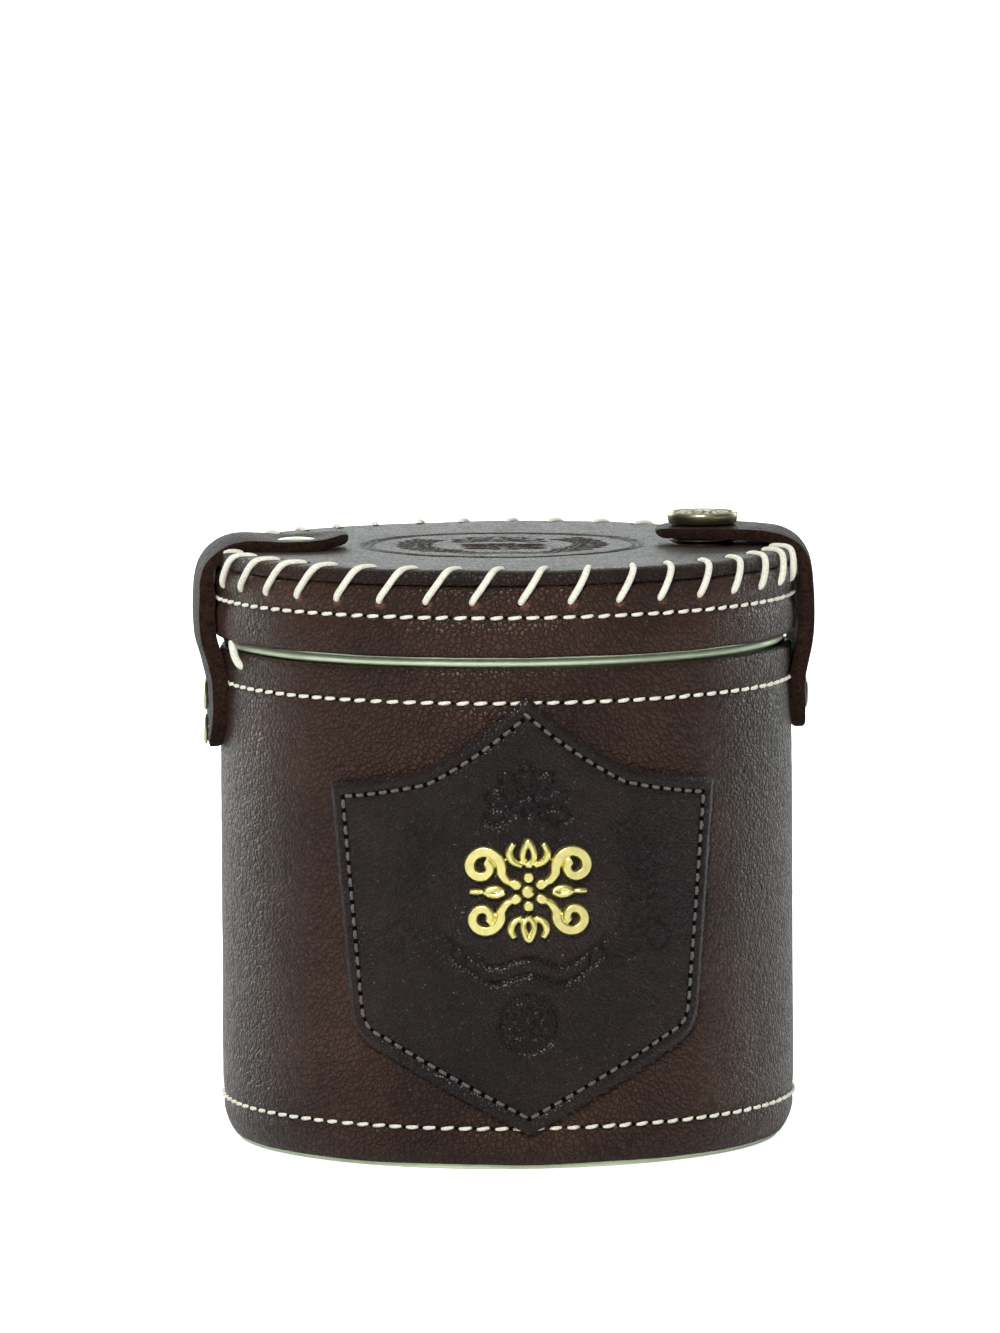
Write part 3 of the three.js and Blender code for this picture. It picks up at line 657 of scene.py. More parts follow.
# ------------------------------------------------------------------ stitching
MACHINE_STITCH = ((-0.5, -0.55, 0.55), (-0.42, -0.02, 0.85), (-0.2, 0.24, 1.0), (0.0, 0.3, 1.08),
                  (0.2, 0.24, 1.0), (0.42, -0.02, 0.85), (0.5, -0.55, 0.55))


def machine_row(name, radius_at, height, count, body, stands_for, centre_x=0.0):
    """A lockstitch row: short slanted stitches that dip into their needle holes."""
    runs, holes = [], []
    pitch = TURN / count
    for k in range(count):
        middle = (k + 0.5) * pitch + random.uniform(-0.03, 0.03) * pitch
        length = pitch * random.uniform(0.64, 0.72)
        slant = random.uniform(0.04, 0.16)
        run = []
        for t, lift, share in MACHINE_STITCH:
            level = height + slant * 2 * t
            x, y, z = on_ring(radius_at(level) + lift, middle + t * length, level)
            run.append((x + centre_x, y, z, share))
        runs.append(run)
        hole = middle + 0.5 * pitch
        radius = radius_at(height)
        holes.append([])
        for reach in (radius - 0.5, radius + 0.06):
            x, y, z = on_ring(reach, hole, height)
            holes[-1].append((x + centre_x, y, z, 0.95))
    threads(name, runs, 0.31, body, CREAM_THREAD, stands_for)
    # Near-black cords in the needle holes: painted shade for the dark inside each hole.
    threads(name + "_hole_shade", holes, 0.3, body, NEEDLE_HOLE_SHADE)


def band_radius(height):
    return LID_RADIUS - pulled_in(height, (LID_ROW,), 0.3)


def lacing():
    """Whip stitches of waxed thread from a hole in the band over the edge into the lid's top."""
    stops = ((48.0, 93.6, 0.0, 0.8), (48.85, 93.95, 0.02, 0.95), (49.15, 94.8, 0.12, 1.0),
             (49.17, 96.1, 0.3, 1.0), (49.0, 97.5, 0.48, 1.0), (48.6, 98.5, 0.61, 1.0),
             (47.9, 98.95, 0.7, 0.95), (47.0, 99.08, 0.79, 0.9), (46.0, 99.08, 0.89, 0.9),
             (45.2, 98.9, 0.97, 0.85), (44.8, 98.3, 1.0, 0.7))
    fine = smooth_path([(radius, level, turn) for radius, level, turn, _ in stops], 3)
    shares = np.interp(np.linspace(0, 1, len(fine)), np.linspace(0, 1, len(stops)),
                       [stop[3] for stop in stops])
    runs, holes = [], []
    for k in range(LACING_COUNT):
        start = LACING_START + k * LACING_TURN + random.uniform(-0.006, 0.006)
        lean = (LACING_LEAN - LEAN_SPREAD * math.sin(start)) * random.uniform(0.92, 1.06)
        run = []
        for (radius, level, turn), share in zip(fine, shares):
            x, y, z = on_ring(radius, start + lean * turn, level)
            run.append((x + LID_SHIFT, y, z, share))
        runs.append(run)
        for inner, outer, angle, low, high in ((48.3, 48.75, start, 93.5, 93.45),
                                               (44.6, 44.6, start + lean, 98.4, 99.04)):
            hole = []
            for reach, level in ((inner, low), (outer, high)):
                x, y, z = on_ring(reach, angle, level)
                hole.append((x + LID_SHIFT, y, z, 0.9))
            holes.append(hole)
    threads("edge_lacing", runs, 0.57, "lid", CREAM_THREAD, ["lid_lacing"], sides=3)
    # Near-black cords in the lacing holes: painted shade for the dark inside each hole.
    threads("lacing_hole_shade", holes, 0.56, "lid", NEEDLE_HOLE_SHADE)


def loose_end():
    """The short end of the lacing thread, which lies over the tin's curled edge."""
    low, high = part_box("thread_end")
    angle = math.atan2((low[0] + high[0]) / 2, -(low[1] + high[1]) / 2)
    stops = ((47.3, 80.6, 0.03), (48.1, 80.95, 0.026), (48.6, 81.8, 0.018), (48.75, 82.8, 0.006),
             (48.75, 84.0, -0.008), (48.6, 84.7, -0.016))
    fine = smooth_path(stops, 4)
    runs = [[(*on_ring(radius, angle + turn, level), 1.0) for radius, level, turn in fine]]
    threads("lacing_loose_end", runs, 0.66, "cup", CREAM_THREAD, ["thread_end"],
            sides=3)


# ------------------------------------------------------------------ ornament
def spiral(centre, start_radius, end_radius, start, sweep, steps=22):
    """A curl that tightens evenly, as an array of points."""
    t = np.linspace(0, 1, steps)
    radius = start_radius * (end_radius / start_radius) ** t
    angle = start + sweep * t
    return np.array(centre) + np.stack([radius * np.cos(angle), radius * np.sin(angle)], 1)


def both_sides(strokes):
    """The strokes and their mirror images in x."""
    return strokes + [(points * np.array([-1, 1]), width) for points, width in strokes]


def moved(strokes, x, y, size=1.0):
    return [(points * size + np.array([x, y]), width * size) for points, width in strokes]


def petal_fan():
    """Seven petals that spread like an open fan, over a small bead."""
    strokes = []
    for k in range(-3, 4):
        lean = math.radians(33 * k)
        length = 8.0 - 0.2 * abs(k)
        half = 1.3
        petal = [(0, 2.0), (-half * 0.5, length * 0.48), (-half, length * 0.78), (0, length),
                 (half, length * 0.78), (half * 0.5, length * 0.48), (0, 2.0)]
        turn = np.array([[math.cos(lean), -math.sin(lean)], [math.sin(lean), math.cos(lean)]])
        strokes.append((smooth_path(petal, 5) @ turn + np.array([0, -2.9]), 0.27))
    strokes.append((spiral((0, -2.9), 0.8, 0.79, 0, TURN, 14), 0.3))
    return strokes


def leaf_spray(side):
    """A curved branch with paired leaves."""
    stem = smooth_path([(side * 3.0, -11.0), (side * 8.0, -7.5), (side * 10.6, -1.5),
                        (side * 10.4, 5.0), (side * 8.0, 10.5)], 10)
    strokes = [(stem, 0.22)]
    for k in range(4, len(stem) - 1, 4):
        way = stem[k + 1] - stem[k - 1]
        way /= np.linalg.norm(way)
        normal = np.array([-way[1], way[0]])
        for hand in (-1, 1):
            tip = stem[k] + way * 2.4 + normal * hand * 2.2
            belly = (stem[k] + tip) / 2
            leaf = smooth_path([stem[k], belly + normal * hand * 0.75 - way * 0.35, tip,
                                belly - normal * hand * 0.3 + way * 0.5, stem[k]], 4)
            strokes.append((leaf, 0.2))
    return strokes


def plain_ribbon():
    """A waved ribbon with forked tails and no words on it."""
    strokes = []
    for lift in (-1.35, 1.35):
        wave = [(-10.5, 1.6 + lift), (-6, -0.9 + lift), (0, 0.5 + lift), (6, -0.9 + lift),
                (10.5, 1.6 + lift)]
        strokes.append((smooth_path(wave, 8), 0.26))
    for side in (-1, 1):
        tail = [(side * 10.5, 0.25), (side * 13.6, 2.6), (side * 12.2, 3.4), (side * 13.4, 5.2),
                (side * 10.5, 2.95)]
        strokes.append((np.array(tail), 0.26))
        strokes.append((np.array([(side * 10.5, 0.25), (side * 10.5, 2.95)]), 0.26))
    return strokes


def rosette():
    """An eight-petalled rosette in a round frame."""
    strokes = [(spiral((0, 0), 1.0, 0.99, 0, TURN, 16), 0.22)]
    for k in range(8):
        angle = TURN * k / 8
        way = np.array([math.cos(angle), math.sin(angle)])
        side = np.array([-way[1], way[0]])
        petal = smooth_path([way * 1.1, way * 2.2 + side * 0.75, way * 3.3,
                             way * 2.2 - side * 0.75, way * 1.1], 4)
        strokes.append((petal, 0.2))
    strokes.append((spiral((0, 0), 4.9, 4.89, 0, TURN, 40), 0.28))
    strokes.append((spiral((0, 0), 4.1, 4.09, 0, TURN, 36), 0.16))
    return strokes


def scrolls():
    """Strokes of the cast ornament: four curls and leafy finials round a small flower."""
    upper = np.vstack([smooth_path([(2.4, 1.3), (3.5, 1.9), (4.4, 3.1)], 6)[:-1],
                       spiral((7.5, 4.1), 3.3, 1.05, math.radians(197), math.radians(-440), 30)])
    lower = np.vstack([smooth_path([(2.4, -1.3), (3.6, -2.0), (4.5, -3.2)], 6)[:-1],
                       spiral((7.3, -4.2), 3.0, 0.95, math.radians(160), math.radians(430), 28)])
    side_leaf = smooth_path([(3.9, 0), (5.3, 0.62), (6.9, 0), (5.3, -0.62), (3.9, 0)], 5)
    tall_leaf = smooth_path([(1.0, 4.2), (2.5, 5.0), (3.1, 6.5), (2.4, 8.0)], 6)
    foot_leaf = smooth_path([(1.0, -4.2), (2.4, -5.0), (2.9, -6.3), (2.3, -7.6)], 6)
    half = [(upper, 0.86), (lower, 0.82), (side_leaf, 0.6),
            (np.array([(6.9, 0), (8.4, 0), (9.6, 0)]), 0.5), (tall_leaf, 0.64), (foot_leaf, 0.62)]
    middle = [
        (smooth_path([(0, 4.0), (-0.95, 5.9), (0, 8.3), (0.95, 5.9), (0, 4.0)], 6), 0.58),
        (smooth_path([(0, -4.0), (-0.9, -5.7), (0, -8.0), (0.9, -5.7), (0, -4.0)], 6), 0.56),
        (spiral((0, 0), 0.4, 0.39, 0, TURN, 12), 0.8),
    ]
    for k in range(6):
        angle = math.radians(60 * k + 30)
        way = np.array([math.cos(angle), math.sin(angle)])
        middle.append((np.array([way * t for t in (1.5, 1.9, 2.3, 2.7, 3.1)]), 0.86))
    return both_sides(half) + middle


def stroke_depth(x, y, strokes, soft_edge=0.16):
    """How deep each point lies in a set of strokes, from 0 outside to 1 on a stroke."""
    found = np.zeros(len(x))
    for points, width in strokes:
        low, high = points.min(0) - width - 1, points.max(0) + width + 1
        near = np.flatnonzero((x > low[0]) & (x < high[0]) & (y > low[1]) & (y < high[1]))
        if not len(near):
            continue
        best = np.full(len(near), 9.0)
        px, py = x[near], y[near]
        for a, b in zip(points[:-1], points[1:]):
            d = b - a
            t = np.clip(((px - a[0]) * d[0] + (py - a[1]) * d[1]) / max(d @ d, 1e-9), 0, 1)
            best = np.minimum(best, np.hypot(px - a[0] - t * d[0], py - a[1] - t * d[1]))
        inside = np.clip((width + soft_edge - best) / (2 * soft_edge), 0, 1)
        found[near] = np.maximum(found[near], inside * inside * (3 - 2 * inside))
    return found


def mark_pressed(piece, values):
    layer = piece.data.attributes.new("pressed", "FLOAT", "POINT")
    layer.data.foreach_set("value", np.asarray(values, np.float32))


# ------------------------------------------------------------------ lid top
def lid_top():
    """The lid's leather disk, with a blind-tooled medallion."""
    rings = [46.2 * k / 130 for k in range(131)]
    top = [(r, 99.0) for r in rings] + [(47.1, 98.98), (47.7, 98.9), (48.15, 98.65), (48.4, 98.2)]
    side = [(48.5, 97.6), (48.5, 97.0), (48.35, 96.55), (47.9, 96.45)]
    bm = turned(list(reversed(top + side + [(20, 96.5), (0, 96.5)])), 300)
    co = np.array([v.co for v in bm.verts])
    x, y = co[:, 0], co[:, 1]
    on_top = co[:, 2] > 98.9
    medallion = moved(petal_fan(), 0, 10.8, 1.05) + moved(scrolls(), 0, -2.8, 0.66)
    medallion += moved(plain_ribbon(), 0, -14.5, 0.85)
    for side_of in (-1, 1):
        medallion += moved(leaf_spray(side_of), side_of * 2.2, -0.5, 1.15)
    circle = spiral((0, 0), 23.4, 23.39, 0, TURN, 90)
    medallion += [(circle, 0.3), (circle * (22.1 / 23.4), 0.2)]
    medallion = [(points, width * 1.35) for points, width in medallion]
    depth = np.where(on_top, stroke_depth(x, y, medallion, 0.3), 0)
    for vert, amount in zip(bm.verts, depth):
        vert.co.z -= 0.4 * amount
    uneven = [0.16 * noise.noise(v.co / 13) + 0.05 * noise.noise(v.co / 4) for v in bm.verts]
    stud_x = middle_x("snap_stud")
    rivet_x = middle_x("hinge_lid_rivet")
    for vert, rise in zip(bm.verts, uneven):
        if vert.co.z > 98.3:
            sunk = 0.7 * math.exp(-(math.hypot(vert.co.x - rivet_x, vert.co.y) / 6.5) ** 4)
            sunk += 0.3 * math.exp(-(math.hypot(vert.co.x - stud_x, vert.co.y) / 5.5) ** 4)
            vert.co.z += rise - sunk
    for face in bm.faces:
        middle = face.calc_center_median()
        face.material_index = int(math.hypot(middle.x, middle.y) > 48.0)
    shifted(bm, x=LID_SHIFT)
    piece = keep(bm, "lid_leather_top", "lid", [LID_LEATHER, CUT_EDGE], ["lid_top"],
                 60)
    mark_pressed(piece, depth)


# ------------------------------------------------------------------ shield patch
SHIELD_HALF = ((0, 78.5), (17.5, 66.2), (34.6, 63.6), (31.0, 27.0), (25.5, 19.8), (0, 6.2))
PATCH_BACK = 48.15
PATCH_FRONT = 49.45


def bezier(start, control, end, steps):
    """A curve from start to end that is drawn towards the control point."""
    t = np.linspace(0, 1, steps + 1)[:, None]
    start, control, end = (np.array(point) for point in (start, control, end))
    return start * (1 - t) ** 2 + control * 2 * t * (1 - t) + end * t * t


def shield_outline():
    """Half of the shield's outline and then its mirror image, clockwise from the top apex."""
    top, shoulder, corner, hip, lower, bottom = [np.array(p, float) for p in SHIELD_HALF]
    pieces = [
        bezier(top, shoulder * (0.5, 1) + (0, 4.4), shoulder, 16),
        bezier(shoulder, (corner[0] * 0.78, corner[1] + 0.5), corner - (0.5, -0.05), 12),
        bezier(corner - (0.5, -0.05), corner, corner - (0.05, 0.6), 4),
        bezier(corner - (0.05, 0.6), (corner + hip) / 2, hip, 16),
        bezier(hip, (hip[0] - 0.4, lower[1] + 1.6), lower, 10),
        bezier(lower, (lower + bottom) / 2, bottom, 16),
    ]
    half = np.vstack([p[:-1] for p in pieces] + [bottom])
    return np.vstack([half, (half * (-1, 1))[1:-1][::-1]])


def distance_to(outline, x, y):
    best = np.full(len(x), 99.0)
    loop = np.vstack([outline, outline[:1]])
    for a, b in zip(loop[:-1], loop[1:]):
        d = b - a
        t = np.clip(((x - a[0]) * d[0] + (y - a[1]) * d[1]) / (d @ d), 0, 1)
        best = np.minimum(best, np.hypot(x - a[0] - t * d[0], y - a[1] - t * d[1]))
    return best


def patch_art():
    """Blind tooling of the patch: fan, blank ribbon and rosette, and fainter leaf sprays."""
    art = moved(petal_fan(), 0, 62.6, 0.98) + moved(plain_ribbon(), 0, 33.6)
    art += moved(rosette(), 0, 24.6, 0.95)
    faint = []
    for side in (-1, 1):
        faint += moved(leaf_spray(side), side * 7.0, 46.5, 1.15)
        start = math.pi / 2 + side * 1.4
        faint.append((spiral((side * 22, 38), 4.6, 1.0, start, -side * 6.5), 0.3))
    return art, faint


def around_cup(bm):
    """Bends flat work, drawn as (distance round, -, height) with its depth in y, round the cup."""
    for vert in bm.verts:
        vert.co = on_ring(vert.co.y, vert.co.x / PATCH_FRONT, vert.co.z)


def gridded(outline, step):
    """A flat sheet with this outline in x and z, cut into a square grid."""
    bm = bmesh.new()
    bm.faces.new([bm.verts.new((x, 0, z)) for x, z in outline])
    low, high = outline.min(0), outline.max(0)
    for axis, start, end in (((1, 0, 0), low[0], high[0]), ((0, 0, 1), low[1], high[1])):
        for k in range(1, int((end - start) / step)):
            at = start + k * step
            bmesh.ops.bisect_plane(bm, geom=whole(bm), dist=1e-5, plane_co=Vector(axis) * at,
                                   plane_no=axis)
    bmesh.ops.remove_doubles(bm, verts=bm.verts, dist=0.02)
    return bm


def mark_edges(bm):
    """Gives the second material to the faces that don't look away from the cup's axis."""
    for face in bm.faces:
        middle = face.calc_center_median()
        out = Vector((middle.x, middle.y, 0)).normalized()
        face.material_index = int(abs(face.normal.dot(out)) < 0.45)


def shield_patch():
    outline = shield_outline()
    bm = gridded(outline, 0.36)
    x, z = np.array([(v.co.x, v.co.z) for v in bm.verts]).T
    art, faint = patch_art()
    pressed = np.maximum(stroke_depth(x, z, art, 0.42), 0.45 * stroke_depth(x, z, faint, 0.45))
    sunk = stroke_depth(x, z, [(points, width + 0.9) for points, width in art], 0.8)
    edge = distance_to(outline, x, z)
    rounding = 0.42 * np.exp(-(edge / 0.55) ** 2)
    groove = 0.22 * np.exp(-((edge - 2.4) / 0.75) ** 2)
    height = PATCH_FRONT - rounding - groove
    height += 0.12 * np.exp(-((edge - 1.2) / 0.6) ** 2) - 0.55 * pressed - 0.14 * sunk
    layer = bm.verts.layers.float.new("pressed")
    wave = [0.09 * noise.noise(Vector((v.co.x, 3, v.co.z)) / 9) for v in bm.verts]
    for vert, level, amount, swell in zip(bm.verts, height, pressed, wave):
        vert.co.y = level + swell
        vert[layer] = amount
    for vert in extruded(bm):
        vert.co.y = PATCH_BACK
        vert[layer] = 0
    around_cup(bm)
    bmesh.ops.recalc_face_normals(bm, faces=bm.faces)
    mark_edges(bm)
    keep(bm, "shield_leather_patch", "cup", [PATCH_LEATHER, PATCH_EDGE],
         ["shield_patch"], 50)


def evenly(outline, pitch):
    """Points about pitch apart along a closed outline, and the way it runs at each."""
    loop = np.vstack([outline, outline[:1]])
    lengths = np.r_[0, np.cumsum(np.hypot(*np.diff(loop, axis=0).T))]
    count = round(lengths[-1] / pitch)
    at = np.arange(count) * lengths[-1] / count
    points = np.stack([np.interp(at, lengths, loop[:, k]) for k in (0, 1)], 1)
    ahead = np.stack([np.interp((at + 0.2) % lengths[-1], lengths, loop[:, k]) for k in (0, 1)], 1)
    way = ahead - points
    return points, way / np.linalg.norm(way, axis=1)[:, None], lengths[-1] / count


def inset_outline(outline, amount):
    """The outline moved inwards, with the corners kept crisp."""
    out = []
    count = len(outline)
    for i in range(count):
        before, here, after = outline[i - 1], outline[i], outline[(i + 1) % count]
        one = (here - before) / np.linalg.norm(here - before)
        two = (after - here) / np.linalg.norm(after - here)
        normal = np.array([one[1] + two[1], -one[0] - two[0]])
        normal /= np.linalg.norm(normal)
        stretch = 1 / max(0.35, normal @ np.array([one[1], -one[0]]))
        out.append(here + normal * amount * stretch)
    moved_in = np.array(out)
    clear = distance_to(outline, moved_in[:, 0], moved_in[:, 1]) > amount * 0.97
    return moved_in[clear]


def hand_stitches(points, way, pitch, shape, face, turn=0.0):
    """Stitches laid along a path on a sheet that is bent round the cup, turned about Z."""
    runs = []
    for point, along in zip(points, way):
        run = []
        for t, lift, share in shape:
            spot = point + along * t * pitch
            angle = turn + spot[0] / PATCH_FRONT
            run.append((*on_ring(face + lift, angle, spot[1]), share))
        runs.append(run)
    return runs


def patch_stitching():
    path = inset_outline(shield_outline(), 2.4)
    points, way, pitch = evenly(path, 2.15)
    face = PATCH_FRONT - 0.24
    shape = ((-0.3, -0.35, 0.6), (-0.25, 0.02, 0.85), (0.0, 0.22, 1.0), (0.25, 0.02, 0.85),
             (0.3, -0.35, 0.6))
    runs = hand_stitches(points, way, pitch, shape, face)
    holes = []
    for x, z in points + way * 0.5 * pitch:
        angle = x / PATCH_FRONT
        holes.append([(*on_ring(face - 0.4, angle, z), 1.0),
                      (*on_ring(face + 0.12, angle, z), 0.85)])
    threads("patch_stitches", runs, 0.29, "cup", GREY_THREAD, ["patch_thread"])
    # Near-black cords in the stitch holes: painted shade for the dark inside each hole.
    threads("patch_stitch_hole_shade", holes, 0.55, "cup", NEEDLE_HOLE_SHADE)


def cast_emblem():
    """The yellow metal ornament: rounded scroll strokes, joined and bent to the cup."""
    low, high = box("emblem")
    middle = (low[2] + high[2]) / 2
    runs = []
    for points, width in scrolls():
        count = len(points) - 1
        run = []
        for k, (x, z) in enumerate(points):
            swell = 0.72 + 0.42 * math.sin(math.pi * k / count) + 0.25 * (k / count) ** 6
            run.append((x, 0, z, width * swell))
        runs.append(run)
    joined = add_object("scroll_joined", corded("scroll_lines", runs, 1, 4))
    remesh = joined.modifiers.new("remesh", "REMESH")
    remesh.mode = "VOXEL"
    remesh.voxel_size = 0.13 * MM
    bm = bmesh.new()
    bm.from_mesh(finished_mesh(joined))
    bmesh.ops.scale(bm, vec=(1000, 1000, 1000), verts=bm.verts)
    for _ in range(3):
        bmesh.ops.smooth_vert(bm, verts=bm.verts, factor=0.5,
                              use_axis_x=True, use_axis_y=True, use_axis_z=True)
    base = PATCH_FRONT - 0.05
    crest = 1.35
    layer = bm.verts.layers.float.new("pressed")
    for vert in bm.verts:
        rise = max(-0.25, min(crest, -vert.co.y * 1.5 + 0.35))
        # The pressed layer darkens each stroke towards its foot, where it meets the leather.
        vert[layer] = 0.9 * max(0.0, min(1.0, (0.35 - rise) / 0.5))
        vert.co.y = base + rise
        vert.co.z += middle
    around_cup(bm)
    bmesh.ops.recalc_face_normals(bm, faces=bm.faces)
    keep(bm, "scroll_emblem", "cup", [GOLD], ["emblem"], 60)


# ------------------------------------------------------------------ back seam
def rectangle(half, low, high, inset):
    return [(-half + inset, low + inset), (half - inset, low + inset),
            (half - inset, high - inset), (-half + inset, high - inset)]


def back_seam():
    """The strip over the joint of the body leather, sewn down along both sides."""
    low, high = box("back_seam_strip")
    half, z_low, z_high = (high[0] - low[0]) / 2, low[2], high[2]
    row = 1.9
    outline = np.array(rounded(rectangle(half, z_low, z_high, 0), 2.5, 6))
    bm = gridded(outline, 0.9)
    x, z = np.array([(v.co.x, v.co.z) for v in bm.verts]).T
    edge = distance_to(outline, x, z)
    rounding = 0.4 * np.exp(-(edge / 0.5) ** 2)
    groove = 0.22 * np.exp(-((edge - row) / 0.7) ** 2)
    for vert, level in zip(bm.verts, PATCH_FRONT - rounding - groove):
        vert.co.y = level
    for vert in extruded(bm):
        vert.co.y = PATCH_BACK
    around_cup(bm)
    bmesh.ops.rotate(bm, verts=bm.verts, matrix=Matrix.Rotation(math.pi, 3, "Z"))
    bmesh.ops.recalc_face_normals(bm, faces=bm.faces)
    mark_edges(bm)
    keep(bm, "seam_strip", "cup", [BODY_LEATHER, CUT_EDGE], ["back_seam_strip"], 50)
    path = np.array(rounded(rectangle(half, z_low, z_high, row), 1.2, 4))
    shape = ((-0.35, -0.4, 0.6), (-0.28, 0.0, 0.85), (0.0, 0.26, 1.0), (0.28, 0.0, 0.85),
             (0.35, -0.4, 0.6))
    runs = hand_stitches(*evenly(path, 3.0), shape, PATCH_FRONT - 0.2, math.pi)
    threads("seam_stitches", runs, 0.34, "cup", CREAM_THREAD)


# ------------------------------------------------------------------ straps
STRAP = 2.7
STRAP_INSIDE = 1.8
FOOT_ROUNDING = 1.8
TIP_ROUNDING = 1.3
STRAP_WIDTH = 17.0
STRAP_STEP = 0.6
CLOSING_LINE = ((49.35, 67.8), (49.35, 72), (49.4, 76.5), (49.95, 79.6), (50.55, 82.3),
                (50.85, 85), (50.95, 88), (50.9, 91), (50.6, 94.4), (50.0, 97.2), (48.7, 99.3),
                (46.6, 100.6), (44.2, 101.1), (41.5, 101.2), (38.5, 101.2), (35.5, 101.3),
                (30, 101.3), (25.3, 100.9))
HINGE_LINE = ((49.35, 65.7), (49.35, 72), (49.45, 77), (50.2, 80.6), (51.2, 84.05), (51.5, 87),
              (51.55, 90.5), (51.25, 94.4), (50.3, 97.2), (48.5, 99.2), (46.3, 100.3),
              (43.8, 100.6), (41, 100.35), (38, 99.95), (34.9, 99.95), (31, 100.2),
              (28.5, 100.5), (26.3, 100.75))


def strap(name, line, side, dips, stands_for):
    """A round-ended strap that follows a line in x and z, drawn for +X and mirrored by side.

    dips are (x, z, depth, width) where hardware sinks into its outer face.
    """
    path = smooth_path(line, 12)
    reach = np.r_[0, np.cumsum(np.hypot(*np.diff(path, axis=0).T))]
    length = reach[-1]
    radius = STRAP_WIDTH / 2
    bm = bmesh.new()
    bmesh.ops.create_circle(bm, cap_ends=True, segments=46, radius=radius)
    bmesh.ops.translate(bm, vec=(radius, 0, 0), verts=bm.verts)
    far_end = [v for v in bm.verts if v.co.x > radius]
    bmesh.ops.translate(bm, vec=(length - 2 * radius, 0, 0), verts=far_end)
    cuts = [((k * STRAP_STEP, 0, 0), (1, 0, 0)) for k in range(1, int(length / STRAP_STEP))]
    cuts += [((0, k + 0.02, 0), (0, 1, 0)) for k in range(-8, 9)]
    for at, normal in cuts:
        bmesh.ops.bisect_plane(bm, geom=whole(bm), plane_co=at, plane_no=normal, dist=1e-4)
    bmesh.ops.remove_doubles(bm, verts=bm.verts, dist=0.03)
    bmesh.ops.translate(bm, vec=(0, 0, STRAP), verts=extruded(bm))
    bmesh.ops.recalc_face_normals(bm, faces=bm.faces)
    bm.normal_update()
    rim = [e for e in bm.edges if e.is_manifold and e.calc_face_angle(0) > 1.0]
    bmesh.ops.bevel(bm, geom=rim, offset=0.3, segments=2, affect="EDGES", profile=0.5,
                    material=-1, clamp_overlap=True)
    bm.normal_update()
    for face in bm.faces:
        face.material_index = int(abs(face.normal.z) < 0.8)
    for vert in bm.verts:
        along = min(max(vert.co.x, 0.0), length)
        x, z = (np.interp(along, reach, path[:, k]) for k in (0, 1))
        ahead = [np.interp(min(along + 0.3, length), reach, path[:, k]) for k in (0, 1)]
        behind = [np.interp(max(along - 0.3, 0.0), reach, path[:, k]) for k in (0, 1)]
        way = Vector((ahead[0] - behind[0], ahead[1] - behind[1])).normalized()
        outward = Vector((way.y, -way.x))
        level = vert.co.z - STRAP_INSIDE
        for at, z_at, depth, width in dips:
            apart = math.hypot(math.hypot(x - at, z - z_at), vert.co.y)
            level -= depth * math.exp(-(apart / width) ** 4) * (vert.co.z / STRAP)
        level += 0.07 * noise.noise(Vector((along, vert.co.y, side * 9.0)) / 5)
        hanging = min(1.0, max(0.0, (97.0 - z) / 5.0))
        over_rim = math.exp(-(math.hypot(x - 47.5, z - 99.5) / 5.5) ** 2)
        level *= 1.0 if level > 0 else 0.52 + 0.48 * hanging
        level -= (0.2 + 0.5 * hanging + 0.8 * over_rim) * (vert.co.y / radius) ** 2
        thin = min(1.0, max(0.0, (length - along) / 13.0))
        level *= 0.9 + 0.1 * thin
        for end, rounding in ((along, FOOT_ROUNDING), (length - along, TIP_ROUNDING)):
            if end < rounding:
                level *= 0.12 + 0.88 * math.sqrt(1 - (1 - end / rounding) ** 2)
        vert.co = (side * (x + outward.x * level), vert.co.y, z + outward.y * level)
    bmesh.ops.recalc_face_normals(bm, faces=bm.faces)
    piece = keep(bm, name, None, [STRAP_LEATHER, RAW_EDGE], (), 50)
    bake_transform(piece)
    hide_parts(*stands_for)


def both_straps():
    strap("closing_strap_leather", CLOSING_LINE, 1,
          ((50.3, 73.6, 0.25, 3.4), (33.2, 102.1, 0.1, 6.4)),
          ["closing_strap", "closing_tab"])
    strap("hinge_strap_leather", HINGE_LINE, -1,
          ((50.3, 68.7, 0.25, 3.4), (50.3, 74.5, 0.25, 3.4), (34.9, 100.6, 0.75, 4.6)),
          ["hinge_strap", "hinge_tab"])


# ------------------------------------------------------------------ rivets and snap
SHANK = 1.2


def dome(radius, rise, steps):
    """Outline of a low cap from its foot, round its lip, up to the middle."""
    lip = [(radius - 0.35, 0), (radius - 0.08, 0.06), (radius, 0.25), (radius - 0.1, 0.42)]
    cap = [(radius * 0.93 * math.cos(a), 0.42 + (rise - 0.42) * math.sin(a))
           for a in (math.pi / 2 * k / steps for k in range(1, steps))]
    return lip + cap + [(0, rise)]


def rivet(radius, length, rise, steps, segments):
    """A domed cap seated at Z = 0, with its shank below."""
    outline = [(0, -length), (SHANK, -length), (SHANK, -0.05), (radius - 0.6, -0.05)]
    return turned(outline + dome(radius, rise, steps), segments)


def side_rivet(name, node, side):
    """A small domed rivet cap on the strap's outer face, with its shank behind it."""
    low, high = box(node)
    seat, tail = 50.2, 47.2
    bm = rivet((high[2] - low[2]) / 2, seat - tail, 0.7, 7, 40)
    turn = Matrix.Rotation(side * math.pi / 2, 3, "Y")
    bmesh.ops.rotate(bm, verts=bm.verts, matrix=turn)
    shifted(bm, x=side * seat, z=(low[2] + high[2]) / 2)
    keep(bm, name, "cup", [RIVET_METAL], [node], 40)


def lid_rivet():
    low, high = box("hinge_lid_rivet")
    seat, tail = 99.75, 93.7
    bm = rivet((high[0] - low[0]) / 2, seat - tail, 0.95, 9, 56)
    shifted(bm, x=middle_x("hinge_lid_rivet"), z=seat)
    keep(bm, "hinge_rivet_cap", "lid", [RIVET_METAL], ["hinge_lid_rivet"], 40)


